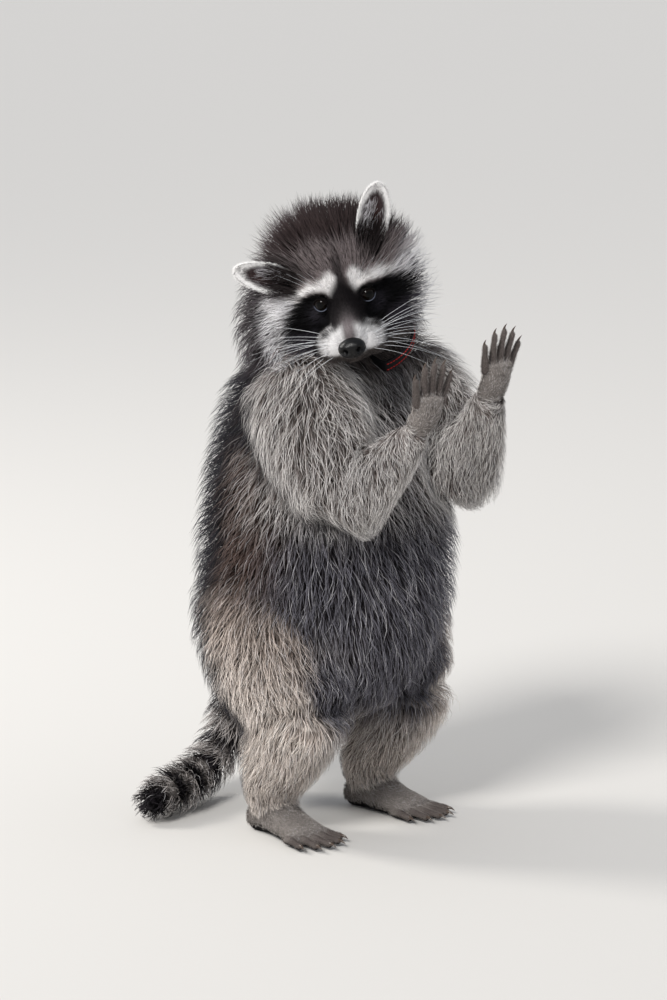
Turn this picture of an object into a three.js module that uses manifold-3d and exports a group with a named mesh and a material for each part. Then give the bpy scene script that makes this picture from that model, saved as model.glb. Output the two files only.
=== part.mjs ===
// A life-size raccoon that stands upright on its hind feet and tail, forepaws raised in
// front of its chest, head turned to its right and tilted.
// Millimetres, +Z up. The animal faces -Y and its left side is +X. Its origin, before the
// last shift, is on the floor between the hind feet.

import * as THREE from 'three';
import Module from 'manifold-3d';

const wasm = await Module();
wasm.setup();

// Driving dimensions
const seamGap = 0.36;         // clearance between two neighbouring pieces
const shortCoat = 7.5;        // a coat up to this deep is all core
const coreShare = 0.5;        // how much of a deeper coat the core fills; locks fill the rest
const rootDepth = 7;          // how deep a lock's root is sunk in the core
const torsoCoat = 27;         // depth of the coat, skin to tips
const neckCoat = 30;
const thighCoat = 20;
const tailCoat = 15;
const eyeRadius = 8.2;
const eyeSpread = 18.6;       // from the middle of the face to an eyeball's centre
const earHalfWidth = 15.3;
const earThickness = 4;
const toeLength = 27;
const fingerLength = 25;
const clawLength = 9;
const simplifyWithin = 0.1;   // how far the joined surfaces may be smoothed
const collarWidth = 11;
const collarThickness = 2.6;
const collarReach = { throat: 68, side: 59 };
const collarCentre = new THREE.Vector3(-3.5, -16, 454);

const eyesAt = new THREE.Vector3(-56.2, -71.5, 489.7);   // midpoint between the eyes
const headTurn = THREE.MathUtils.degToRad(-43.6);        // to its own right
const headNod = THREE.MathUtils.degToRad(16.6);          // nose down
const headTilt = THREE.MathUtils.degToRad(-13.6);        // crown towards its right shoulder

// Where each ear grows on the head, its length and its lean from upright, in radians.
const earShapes = {
  right: { foot: [-33, 35, 5], length: 63, lean: 1.13 },
  left: { foot: [29.5, 35, 29], length: 57, lean: 0.38 },
};

// How the locks of each form are laid: rows from one station to another, steps between rows
// and between locks, a lock's length, width and thickness, and how far its tip sags below.
const plans = {
  head: { from: 0.57, to: 0.97, rowStep: 20, sideStep: 31, length: 40, width: 27, thickness: 4.5 },
  neck: { from: 0.42, to: 0.9, rowStep: 30, sideStep: 38, length: 60, width: 32, thickness: 5 },
  torso: { from: 0.02, to: 0.88, rowStep: 45, sideStep: 40, length: 76, width: 34, thickness: 6 },
  upperArm: {
    from: -0.1, to: 0.8, rowStep: 30, sideStep: 33, length: 62, width: 28, thickness: 5, fall: 26,
  },
  forearm: {
    from: 0.1, to: 0.6, rowStep: 27, sideStep: 28, length: 44, width: 22, thickness: 4.5, fall: 24,
  },
  thigh: { from: 0.05, to: 0.9, rowStep: 39, sideStep: 37, length: 62, width: 31, thickness: 5.5 },
  shank: { from: 0, to: 0.6, rowStep: 33, sideStep: 32, length: 46, width: 25, thickness: 4.5 },
  tail: { from: 0.02, to: 1, rowStep: 29, sideStep: 27, length: 44, width: 22, thickness: 4.5 },
};

const X = new THREE.Vector3(1, 0, 0);
const Y = new THREE.Vector3(0, 1, 0);
const Z = new THREE.Vector3(0, 0, 1);

const headPlace = new THREE.Matrix4()
  .makeRotationFromEuler(new THREE.Euler(headNod, headTilt, headTurn, 'ZXY'))
  .setPosition(eyesAt);

// ---------------------------------------------------------------- solids

// A closed solid from rings of equal count and a point at each end.
function solidFromRings(rings, first, last) {
  const count = rings[0].length;
  const points = [first, ...rings.flat(), last];
  const triangles = [];
  for (let i = 0; i < count; i += 1) {
    const next = (i + 1) % count;
    triangles.push(0, 1 + next, 1 + i);
    for (let ring = 0; ring < rings.length - 1; ring += 1) {
      const near = 1 + ring * count;
      const far = near + count;
      triangles.push(near + i, near + next, far + next, near + i, far + next, far + i);
    }
    const end = 1 + (rings.length - 1) * count;
    triangles.push(points.length - 1, end + i, end + next);
  }
  return solidFromTriangles(points, triangles);
}

function solidFromTriangles(points, triangles) {
  const flat = new Float32Array(points.flatMap((p) => p.toArray()));
  let volume = 0;
  for (let i = 0; i < triangles.length; i += 3) {
    const [a, b, c] = triangles.slice(i, i + 3).map((corner) => points[corner]);
    volume += a.dot(b.clone().cross(c));
  }
  const corners = new Uint32Array(volume > 0 ? triangles : triangles.slice().reverse());
  return new wasm.Manifold(new wasm.Mesh({ numProp: 3, vertProperties: flat, triVerts: corners }));
}

// A closed solid from a three.js geometry whose corners may be doubled.
function solidFromGeometry(geometry) {
  const source = geometry.toNonIndexed().getAttribute('position');
  const places = new Map();
  const points = [];
  const triangles = [];
  for (let i = 0; i < source.count; i += 1) {
    const point = new THREE.Vector3().fromBufferAttribute(source, i);
    const key = point.toArray().map((value) => Math.round(value * 1000)).join();
    if (!places.has(key)) {
      places.set(key, points.length);
      points.push(point);
    }
    triangles.push(places.get(key));
  }
  const kept = [];
  for (let i = 0; i < triangles.length; i += 3) {
    const [a, b, c] = triangles.slice(i, i + 3);
    if (a !== b && b !== c && c !== a) kept.push(a, b, c);
  }
  return solidFromTriangles(points, kept);
}

const joined = (solids) => wasm.Manifold.union(solids);
const moved = (solid, matrix) => solid.transform(matrix.elements);

// The largest closed surface of a solid, which fills sealed hollows and drops scraps.
function largest(solid) {
  const pieces = solid.decompose();
  return pieces.reduce((best, piece) => (piece.volume() > best.volume() ? piece : best));
}

const floorBlock = solidFromGeometry(new THREE.BoxGeometry(1200, 1200, 100).translate(0, 0, -50));

// ---------------------------------------------------------------- body forms

const coreDepth = (coat) => Math.min(coat, Math.max(shortCoat, coreShare * coat));

// Oval rings carried along a smooth path and closed by a dome at each end. A station is
// x, y, z, half width, half depth and coat depth. At angle 0 a ring's point lies to the side.
// The rings stand square to the path, or to a heading that is given.
class Form {
  constructor(stations, options = {}) {
    const usual = { around: 16, along: 8, domes: [0, 0], rounds: 2, square: 2.15, fullness: () => 1 };
    Object.assign(this, usual, options);
    this.path = new THREE.CatmullRomCurve3(stations.map(([x, y, z]) => new THREE.Vector3(x, y, z)));
    this.sizes = new THREE.CatmullRomCurve3(
      stations.map(([, , , wide, deep, coat]) => new THREE.Vector3(wide, deep, coat)), false, 'catmullrom');
    this.length = this.path.getLength();
  }

  frameAt(v) {
    const t = THREE.MathUtils.clamp(v, 0, 1);
    const along = this.heading ? this.heading.clone() : this.path.getTangent(t);
    const side = X.clone().addScaledVector(along, -along.x).normalize();
    const front = new THREE.Vector3().crossVectors(side, along);
    const centre = this.path.getPoint(t).addScaledVector(along, (v - t) * this.length);
    return { centre, along, side, front, size: this.sizes.getPoint(t) };
  }

  // A point at angle u and station v. Lift 0 is the core's surface and lift 1 the coat's tips.
  at(u, v, lift = 0, more = 0, scale = 1, shift = 0) {
    const { centre, along, side, front, size } = this.frameAt(v);
    const coat = size.z * this.fullness(u, v);
    const core = coreDepth(coat);
    const grow = core + lift * (coat - core) + more;
    const bend = (value) => Math.sign(value) * Math.abs(value) ** (2 / this.square);
    const point = centre
      .addScaledVector(side, scale * (size.x + grow) * bend(Math.cos(u)))
      .addScaledVector(front, scale * (size.y + grow) * bend(Math.sin(u)))
      .addScaledVector(along, shift);
    return this.place ? point.applyMatrix4(this.place) : point;
  }

  solid(more = 0, from = 0, to = 1) {
    const ring = (v, scale, shift) => Array.from({ length: this.around }, (_, i) => (
      this.at((2 * Math.PI * i) / this.around, v, 0, more, scale, shift)));
    const steps = Math.max(2, Math.round(this.along * (to - from)));
    const grow = (v) => coreDepth(this.frameAt(v).size.z) + more;
    const startDome = from > 0 ? 0 : this.domes[0] + grow(0);
    const endDome = to < 1 ? 0 : this.domes[1] + grow(1);
    const rings = [];
    const turns = this.rounds === 2 ? [0.62, 0.33] : [0.5];
    if (startDome) turns.forEach((turn) => rings.push(ring(from, Math.cos(turn * Math.PI / 2),
      -startDome * Math.sin(turn * Math.PI / 2))));
    for (let i = 0; i <= steps; i += 1) rings.push(ring(from + ((to - from) * i) / steps, 1, 0));
    if (endDome) turns.reverse().forEach((turn) => rings.push(ring(to, Math.cos(turn * Math.PI / 2),
      endDome * Math.sin(turn * Math.PI / 2))));
    return solidFromRings(rings, this.at(0, from, 0, more, 0, -startDome),
      this.at(0, to, 0, more, 0, endDome));
  }
}

const mirrored = (stations, sign) => stations.map(([x, ...rest]) => [sign * x, ...rest]);

const torsoForm = new Form([
  [8, 0, 440, 50, 48, neckCoat],
  [7, 3, 408, 62, 58, torsoCoat],
  [4, 5, 370, 75, 71, torsoCoat],
  [1, 5, 330, 83, 79, torsoCoat],
  [0, 5, 285, 87, 84, torsoCoat],
  [0, 7, 240, 88, 87, torsoCoat],
  [0, 13, 198, 85, 87, torsoCoat],
  [0, 24, 158, 68, 74, torsoCoat],
  [0, 36, 128, 40, 46, torsoCoat],
], { around: 20, along: 10, domes: [-12, 8] });

// The neck's coat is thin at the throat, which faces its right, and behind the right cheek,
// and deep on the nape.
const throatAngle = THREE.MathUtils.degToRad(-135);
const hollowAngle = THREE.MathUtils.degToRad(135);
function napeFullness(angle) {
  const hollow = 0.16 * Math.max(0, Math.cos(angle - hollowAngle)) ** 4;
  return 0.7 - 0.35 * Math.cos(angle - throatAngle) - hollow;
}
const nape = new THREE.Vector3(0, 46, -10).applyMatrix4(headPlace);
const neckForm = new Form([
  [nape.x, nape.y, nape.z, 36, 32, 24],
  [2, 13, 464, 54, 50, 44],
  [8, 7, 424, 59, 56, 38],
], { around: 16, along: 3, fullness: napeFullness });

// The head's coat is deepest on the cheeks, thin on the forehead, thick on the crown and
// ruffled up above the right ear.
const ruffAngle = THREE.MathUtils.degToRad(140);
function cheekFullness(angle, v) {
  const sideways = Math.abs(Math.cos(angle)) ** 1.5;
  const upwards = Math.sin(angle);
  const ruff = 1.3 * Math.max(0, v - 0.57) * Math.max(0, Math.cos(angle - ruffAngle)) ** 4;
  return 0.65 + 0.95 * sideways * (0.72 - 0.45 * upwards) + (v - 0.57) * Math.max(0, upwards) + ruff;
}

// The head's path runs from the nose to the back of the skull.
const headForm = new Form([
  [0, -54, -24, 8, 8, 2],
  [0, -44, -23, 12, 12, 4],
  [0, -30, -21, 14, 14, 5],
  [0, -16, -17, 12, 17, 4],
  [0, -4, -11, 14, 23, 3],
  [0, 10, -9, 31, 33, 6],
  [0, 24, -13, 45, 44, 20],
  [0, 40, -9, 48, 49, 28],
  [0, 58, 1, 41, 42, 29],
  [0, 75, 5, 28, 28, 29],
], {
  around: 20, along: 9, domes: [3, 6], place: headPlace, heading: Y, fullness: cheekFullness,
});

const thighStations = [
  [48, 28, 222, 48, 54, thighCoat],
  [56, 14, 184, 48, 56, thighCoat],
  [62, -6, 148, 42, 50, thighCoat],
  [66, -26, 120, 33, 38, thighCoat],
];
const shankStations = [
  [66, -26, 122, 32, 36, 16],
  [65, -10, 90, 27, 29, 15],
  [63, 8, 56, 20, 22, 14],
  [62, 20, 26, 14, 16, 8],
];
const footStations = [
  [62, 31, 11, 12, 12, 3],
  [63, 8, 16, 15, 16, 3],
  [66, -18, 11, 19, 11, 2],
  [68, -38, 7, 22, 8, 2],
];
const upperArmStations = [
  [62, -20, 404, 36, 40, 18],
  [73, -56, 364, 30, 33, 22],
  [73, -86, 322, 24, 26, 20],
];
const foreArmStations = {
  right: [
    [73, -90, 316, 22, 24, 16],
    [61, -120, 344, 16, 18, 9],
    [46, -148, 380, 11, 12, 4],
  ],
  left: [
    [73, -88, 322, 22, 24, 16],
    [63, -118, 358, 16, 18, 9],
    [50, -144, 400, 11, 12, 4],
  ],
};
const tailForm = new Form([
  [4, 94, 176, 15, 15, tailCoat],
  [8, 120, 126, 14, 14, tailCoat],
  [7, 134, 80, 12, 12, tailCoat],
  [-6, 141, 45, 11, 11, tailCoat],
  [-33, 140, 27, 10, 10, tailCoat],
  [-64, 130, 23, 10, 10, tailCoat],
  [-94, 121, 22, 9, 9, tailCoat],
  [-122, 113, 19, 6, 6, 12],
], { around: 12, along: 16, domes: [4, 2] });

// ---------------------------------------------------------------- locks

// Draws the same numbers between 0 and 1 each time.
let seed = 7;
function random() {
  seed = (seed * 1664525 + 1013904223) % 4294967296;
  return seed / 4294967296;
}
const vary = (amount) => 1 + amount * (2 * random() - 1);

// The share of a lock's length, width and thickness at each of its rings. Its tip is a point.
const lockRings = [[0, 0.7, 0.8], [0.35, 1, 1], [0.72, 0.68, 0.7]];
const sharpRoom = 6;          // clearance at a lock's sharp edges and tip, in times of the rest

// One lock: a flat blade, three-cornered across, that leaves the core at its root, bends with
// the form below it, sags by its fall and ends in a point at the coat's tips.
function lockSolid(form, u, v, look, more = 0) {
  const spine = (s, lift = 0) => {
    const rise = look.stand * s ** 0.9;
    const sink = rootDepth * (1 - s) ** 3;
    const point = form.at(u + look.drift * s * s, v + (s * look.length) / form.length, rise, lift - sink);
    return point.addScaledVector(Z, -look.fall * s * s);
  };
  const rings = lockRings.map(([s, wide, thick]) => {
    const centre = spine(s);
    const outward = spine(s, 1).sub(centre).normalize();
    const onward = spine(s + 0.05).sub(centre);
    const across = new THREE.Vector3().crossVectors(outward, onward).normalize();
    const half = (look.width * wide) / 2 + sharpRoom * more;
    return [
      centre.clone().addScaledVector(across, -half).addScaledVector(outward, -more),
      centre.clone().addScaledVector(across, half).addScaledVector(outward, -more),
      centre.clone().addScaledVector(outward, look.thickness * thick + 1.2 * more),
    ];
  });
  const root = rings[0].reduce((sum, point) => sum.add(point), new THREE.Vector3()).divideScalar(3);
  const tip = spine(1);
  tip.addScaledVector(tip.clone().sub(spine(0.72)).normalize(), sharpRoom * more);
  return solidFromRings(rings, root, tip);
}

function boxesMeet(a, b) {
  return [0, 1, 2].every((k) => a.min[k] < b.max[k] && b.min[k] < a.max[k]);
}

const clearOf = (solid, others) => {
  const bounds = solid.boundingBox();
  return bounds.min[2] > seamGap
    && others.every((other) => !boxesMeet(bounds, other.bounds) || solid.intersect(other.solid).isEmpty());
};
const obstacle = (solid) => ({ solid, bounds: solid.boundingBox() });

// How far down a form's surface looks: 1 on its underside, 0 from its sides up.
function underneath(form, u, v) {
  const outward = form.at(u, v, 0, 1).sub(form.at(u, v));
  return Math.max(0, -outward.normalize().z);
}

// Rows of locks over a form, each row half a step round from the last. A lock that would meet
// an obstacle stands higher, then grows shorter, and is left out where neither clears it.
function coatLocks(form, plan, obstacles, wanted) {
  const locks = [];
  let row = 0;
  for (let v = plan.from; v <= plan.to; v += plan.rowStep / form.length) {
    const { size } = form.frameAt(v);
    const count = Math.round((Math.PI * (size.x + size.y + 2 * coreDepth(size.z))) / plan.sideStep);
    for (let i = 0; i < count; i += 1) {
      const u = (2 * Math.PI * (i + (row % 2) / 2 + 0.12 * (vary(1) - 1))) / count;
      const look = {
        length: plan.length * vary(0.14),
        width: plan.width * vary(0.12),
        thickness: plan.thickness,
        stand: (row ? 1 : 0.6) * vary(0.12),
        drift: 0.1 * (vary(1) - 1),
        fall: (plan.fall ?? 0) * underneath(form, u, v) * vary(0.2),
      };
      if (wanted(lockSolid(form, u, v, look), u, v)) {
        const tries = [[1, 1], [1.2, 1], [1, 0.65]].map(([stand, length]) => (
          { ...look, stand: look.stand * stand, length: look.length * length }));
        const fit = tries.find((option) => clearOf(lockSolid(form, u, v, option, seamGap), obstacles));
        if (fit) {
          locks.push({
            solid: lockSolid(form, u, v, fit),
            room: lockSolid(form, u, v, fit, 1.5 * seamGap),
          });
        }
      }
    }
    row += 1;
  }
  return locks;
}

// ---------------------------------------------------------------- head pieces

const sides = { right: -1, left: 1 };

const eyeCentre = (sign) => new THREE.Vector3(sign * eyeSpread, 3, -1);
const gazeOf = (sign) => new THREE.Vector3(sign * 0.42, -0.9, 0.12).normalize();
const ballSolid = (centre, radius) => moved(solidFromGeometry(
  new THREE.SphereGeometry(radius, 10, 6).rotateX(-Math.PI / 2).translate(...centre.toArray())), headPlace);
const eyeSolid = (sign, more = 0) => ballSolid(eyeCentre(sign), eyeRadius + more);

// The room in front of an eye that the open lids leave.
const lidOpening = (sign) => ballSolid(
  eyeCentre(sign).addScaledVector(gazeOf(sign), eyeRadius - 1.5), eyeRadius);

// The rims of both lids: an almond loop that lies on the eyeball.
function lidSolid(sign) {
  const rim = new THREE.TorusGeometry(1, 0.2, 4, 10);
  const gaze = gazeOf(sign);
  const across = new THREE.Vector3().crossVectors(gaze, Z).normalize();
  const up = new THREE.Vector3().crossVectors(across, gaze);
  const position = rim.getAttribute('position');
  for (let i = 0; i < position.count; i += 1) {
    const [a, b, c] = [position.getX(i), position.getY(i), position.getZ(i)];
    const ray = gaze.clone().addScaledVector(across, a * 1.45).addScaledVector(up, b * 1.15).normalize();
    const point = eyeCentre(sign).addScaledVector(ray, eyeRadius + 0.4 + 6 * c);
    position.setXYZ(i, point.x, point.y, point.z);
  }
  return moved(solidFromGeometry(rim), headPlace);
}

// A whisker pad: the full upper lip beside the nose.
const padSolid = (sign) => moved(solidFromGeometry(new THREE.SphereGeometry(1, 8, 6).rotateX(-Math.PI / 2)
  .scale(15, 21, 14).rotateZ(sign * -0.16).translate(sign * 14, -30, -27)), headPlace);

// The mouth's line on the muzzle: back along both sides and round under the nose.
function mouthPoints(more) {
  const points = [];
  for (let i = -5; i <= 5; i += 1) {
    const turn = i / 5;
    const angle = -Math.PI / 2 + turn * 1.02;
    const back = 0.03 + 0.27 * Math.abs(turn) ** 1.6;
    points.push(headForm.at(angle, back, 0, more));
  }
  return points;
}

function tubeSolid(points, radius, count = 6) {
  const path = new THREE.CatmullRomCurve3(points);
  const steps = points.length - 1;
  const frames = path.computeFrenetFrames(steps, false);
  const rings = points.map((_, i) => {
    const centre = path.getPoint(i / steps);
    return Array.from({ length: count }, (__, k) => centre.clone()
      .addScaledVector(frames.normals[i], radius * Math.cos((2 * Math.PI * k) / count))
      .addScaledVector(frames.binormals[i], radius * Math.sin((2 * Math.PI * k) / count)));
  });
  return solidFromRings(rings, points[0], points[steps]);
}

function nosePadSolid(more = 0) {
  const pad = solidFromGeometry(new THREE.SphereGeometry(1, 10, 7).rotateX(-Math.PI / 2)
    .scale(12 + more, 8.5 + more, 9.5 + more).translate(0, -56, -22));
  const nostrils = Object.values(sides).map((sign) => solidFromGeometry(new THREE.SphereGeometry(1, 6, 4)
    .scale(2.4, 4.5, 2.8).rotateZ(sign * 0.5).translate(sign * 6.5, -63, -22)));
  const solid = more ? pad : pad.subtract(joined(nostrils));
  return moved(solid, headPlace);
}

// An ear: a leaf with a hollow front, from its base to its round tip.
function earSolid(sign, { foot, length, lean }) {
  const base = new THREE.Vector3(...foot);
  const rise = new THREE.Vector3(sign * Math.sin(lean), 0, Math.cos(lean));
  const facing = new THREE.Vector3(sign * 0.3, -1, 0.05);
  facing.addScaledVector(rise, -facing.dot(rise)).normalize();
  const across = new THREE.Vector3().crossVectors(rise, facing);
  const rows = 7;
  const columns = 6;
  const point = (row, column, layer) => {
    const t = row / rows;
    const s = (2 * column) / columns - 1;
    const swell = t < 0.45 ? 0.78 + 0.22 * Math.sin((t / 0.45) * Math.PI / 2)
      : Math.sqrt(Math.max(0.03, 1 - ((t - 0.45) / 0.56) ** 2));
    const cup = (1 - s * s) * 11 * (1 - 0.75 * t) + 3 * t;
    return base.clone()
      .addScaledVector(rise, length * t)
      .addScaledVector(across, earHalfWidth * swell * s)
      .addScaledVector(facing, layer * earThickness - cup);
  };
  const stride = columns + 1;
  const points = [0, 1].flatMap((layer) => Array.from({ length: (rows + 1) * stride },
    (_, i) => point(Math.floor(i / stride), i % stride, layer)));
  const layerSize = (rows + 1) * stride;
  const triangles = [];
  const quad = (a, b, c, d) => triangles.push(a, b, c, a, c, d);
  for (let row = 0; row < rows; row += 1) {
    for (let column = 0; column < columns; column += 1) {
      const a = row * stride + column;
      quad(a, a + 1, a + 1 + stride, a + stride);
      quad(layerSize + a, layerSize + a + stride, layerSize + a + 1 + stride, layerSize + a + 1);
    }
    for (const [column, flip] of [[0, false], [columns, true]]) {
      const a = row * stride + column;
      const b = a + stride;
      if (flip) quad(a, a + layerSize, b + layerSize, b);
      else quad(a, b, b + layerSize, a + layerSize);
    }
  }
  for (let column = 0; column < columns; column += 1) {
    for (const [row, flip] of [[0, true], [rows, false]]) {
      const a = row * stride + column;
      if (flip) quad(a, a + layerSize, a + 1 + layerSize, a + 1);
      else quad(a, a + 1, a + 1 + layerSize, a + layerSize);
    }
  }
  return moved(solidFromTriangles(points, triangles), headPlace);
}

// ---------------------------------------------------------------- paws and collar

// Five digits side by side, each with its claw.
function digits(root, reach, spread, size, length) {
  const across = spread.clone().normalize();
  return [-2, -1, 0, 1, 2].flatMap((i) => {
    const share = 1 - 0.07 * i * i;
    const from = root.clone().addScaledVector(spread, i / 2).addScaledVector(reach, -6 - 1.2 * i * i);
    const heading = reach.clone().addScaledVector(across, 0.1 * i).normalize();
    const knuckle = from.clone().addScaledVector(heading, length * share * 0.5).addScaledVector(Z, 1);
    const tip = from.clone().addScaledVector(heading, length * share + 6);
    const end = tip.clone().addScaledVector(heading, clawLength).addScaledVector(Z, -0.4);
    const station = (p, r) => [p.x, p.y, p.z, r, r, 0];
    const digit = new Form([station(from, size), station(knuckle, size), station(tip, size * 0.8)],
      { around: 5, along: 2, domes: [0, 3], rounds: 1 });
    const claw = new Form([station(tip, size * 0.5), station(end, 0.3)], { around: 3, along: 2 });
    return [digit.solid(), claw.solid()];
  });
}

function footSolid(sign, sole) {
  const toes = digits(new THREE.Vector3(sign * 68.5, -40, 5.2), new THREE.Vector3(sign * 0.06, -1, 0),
    new THREE.Vector3(sign * 17.5, 0, 0), 4.6, toeLength);
  return joined([sole.solid(), ...toes]).subtract(floorBlock);
}

function handSolid(sign, wrist) {
  const palm = new Form([
    [wrist.x, wrist.y, wrist.z, 11, 9, 2],
    [wrist.x - sign * 2, wrist.y - 9, wrist.z + 16, 14, 8, 2],
    [wrist.x - sign * 3, wrist.y - 13, wrist.z + 31, 16, 6, 2],
  ], { around: 9, along: 3, domes: [4, 4], rounds: 1 });
  const root = wrist.clone().add(new THREE.Vector3(-sign * 3, -14, 35));
  const fingers = digits(root, new THREE.Vector3(sign * 0.03, -0.22, 0.97).normalize(),
    new THREE.Vector3(14.5, 0, 0), 3.6, fingerLength);
  return joined([palm.solid(), ...fingers]);
}

// A strap round the neck, square to it, low at the throat and high at the nape.
function collarSolid(more = 0) {
  const steps = 28;
  const axis = new THREE.Vector3(-0.38, -0.32, 0.87).normalize();
  const throat = new THREE.Vector3(-0.17, -0.9, -0.4).projectOnPlane(axis).normalize();
  const across = new THREE.Vector3().crossVectors(axis, throat);
  const half = collarWidth / 2 + more;
  const outer = collarThickness + more;
  const section = [[-more, -half], [outer, -half], [outer, half], [-more, half]];
  const points = [];
  const triangles = [];
  for (let i = 0; i < steps; i += 1) {
    const angle = (2 * Math.PI * i) / steps;
    section.forEach(([out, up]) => points.push(collarCentre.clone()
      .addScaledVector(throat, (collarReach.throat + out) * Math.cos(angle))
      .addScaledVector(across, (collarReach.side + out) * Math.sin(angle))
      .addScaledVector(axis, up)));
    const here = i * 4;
    const next = ((i + 1) % steps) * 4;
    for (let k = 0; k < 4; k += 1) {
      const after = (k + 1) % 4;
      triangles.push(here + k, next + k, next + after, here + k, next + after, here + after);
    }
  }
  return solidFromTriangles(points, triangles);
}

// ---------------------------------------------------------------- assembly

const colours = {
  greyFur: 0x6f665c, darkFur: 0x2c2724, paleFur: 0x9a9184, tanFur: 0x8d7a66,
  skin: 0x1b1918, eye: 0x0b0807, pawSkin: 0x4b4440, strap: 0x151519,
};
const raccoon = new THREE.Group();

function addPiece(name, solid, colour, roughness = 0.9) {
  const { vertProperties, triVerts } = largest(solid).simplify(simplifyWithin).getMesh();
  const geometry = new THREE.BufferGeometry();
  geometry.setAttribute('position', new THREE.BufferAttribute(new Float32Array(vertProperties), 3));
  geometry.setIndex(new THREE.BufferAttribute(new Uint32Array(triVerts), 1));
  geometry.computeVertexNormals();
  const material = new THREE.MeshStandardMaterial({ color: colour, roughness, metalness: 0 });
  const mesh = new THREE.Mesh(geometry, material);
  mesh.name = name;
  raccoon.add(mesh);
}

const torsoRoom = torsoForm.solid(seamGap);
const headRoom = headForm.solid(seamGap);
const neckRoom = neckForm.solid(seamGap);
const collarRoom = collarSolid(seamGap);

// Each limb's forms and bare pieces.
function limbOf(name, sign) {
  const shaped = (stations, options) => new Form(mirrored(stations, sign), options);
  const forms = {
    thigh: shaped(thighStations, { around: 14, along: 4, domes: [10, 10] }),
    shank: shaped(shankStations, { around: 12, along: 4, domes: [4, 4] }),
    sole: shaped(footStations, { around: 10, along: 4, domes: [8, 5], square: 2.4, rounds: 1 }),
    upperArm: shaped(upperArmStations, { around: 12, along: 4, domes: [8, 6] }),
    forearm: shaped(foreArmStations[name], { around: 10, along: 4, domes: [4, 2] }),
  };
  const room = Object.fromEntries(Object.entries(forms).map(([part, form]) => [part, form.solid(seamGap)]));
  const [x, y, z] = foreArmStations[name][2];
  return {
    forms,
    room,
    foot: footSolid(sign, forms.sole),
    hand: handSolid(sign, new THREE.Vector3(sign * x, y, z)).subtract(room.forearm),
    cores: {
      thigh: forms.thigh.solid().subtract(torsoRoom),
      shank: forms.shank.solid().subtract(joined([torsoRoom, room.thigh, room.sole])),
      upperArm: forms.upperArm.solid().subtract(joined([torsoRoom, headRoom, collarRoom, neckRoom])),
      forearm: forms.forearm.solid().subtract(joined([torsoRoom, room.upperArm])),
    },
  };
}
const limbs = Object.fromEntries(Object.entries(sides).map(([name, sign]) => [name, limbOf(name, sign)]));

const ears = Object.fromEntries(Object.entries(sides).map(([name, sign]) => (
  [name, earSolid(sign, earShapes[name]).subtract(headRoom)])));

let head = joined([headForm.solid(), ...Object.values(sides).map(padSolid)]);
for (const sign of Object.values(sides)) head = head.subtract(lidOpening(sign)).add(lidSolid(sign));
head = head.add(tubeSolid(mouthPoints(0.2), 2.1, 5));
head = head.subtract(tubeSolid(mouthPoints(1), 1.1, 3));
for (const sign of Object.values(sides)) head = head.subtract(eyeSolid(sign, seamGap));
head = head.subtract(joined([nosePadSolid(seamGap), torsoRoom, collarRoom]));

const tailLengths = 4;
const tailSeam = 0.5 / tailForm.length;
const tailSpans = Array.from({ length: tailLengths }, (_, i) => [
  i / tailLengths + (i ? tailSeam : 0),
  (i + 1) / tailLengths - (i + 1 < tailLengths ? tailSeam : 0),
]);

// The coat grows from the head down, so that upper locks lie over lower ones.
const bare = {
  head: [headRoom],
  ears: Object.values(ears),
  torso: [torsoRoom],
  collar: [collarRoom],
};
for (const [name, limb] of Object.entries(limbs)) {
  bare[`foot_${name}`] = [limb.foot];
  bare[`hand_${name}`] = [limb.hand];
  for (const part of Object.keys(limb.cores)) bare[`${part}_${name}`] = [limb.room[part]];
}
tailSpans.forEach(([from, to], i) => {
  const span = [Math.max(0, from - tailSeam), Math.min(1, to + tailSeam)];
  bare[`tail_${i + 1}`] = [tailForm.solid(seamGap, ...span)];
});

const grown = {};
const grownSolids = () => Object.values(grown).flat().map((lock) => lock.solid);
function grow(owner, form, plan, wanted = () => true) {
  const others = Object.entries(bare).filter(([name]) => name !== owner).flatMap(([, solids]) => solids);
  grown[owner] = coatLocks(form, plan, [...others, ...grownSolids()].map(obstacle), wanted);
  return grown[owner].map((lock) => lock.solid);
}

// No locks grow on the face, nor where the neck would bury them.
const headLocks = grow('head', headForm, plans.head, (lock, u, v) => v > 0.63 - 0.1 * Math.abs(Math.cos(u))
  && lock.intersect(neckRoom).volume() < 0.3 * lock.volume());
addPiece('head', joined([head, ...headLocks]), colours.greyFur);
addPiece('nose', nosePadSolid(), colours.skin, 0.35);
for (const [name, sign] of Object.entries(sides)) {
  addPiece(`eye_${name}`, eyeSolid(sign), colours.eye, 0.1);
  addPiece(`ear_${name}`, ears[name], colours.paleFur);
}
addPiece('collar', collarSolid(), colours.strap);

const neck = neckForm.solid().subtract(joined([torsoRoom, headRoom, collarRoom,
  ...grown.head.map((lock) => lock.room)]));
bare.neck = [neckRoom];
const neckLocks = grow('neck', neckForm, plans.neck);
addPiece('neck', joined([neck, ...neckLocks]), colours.greyFur);

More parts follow.
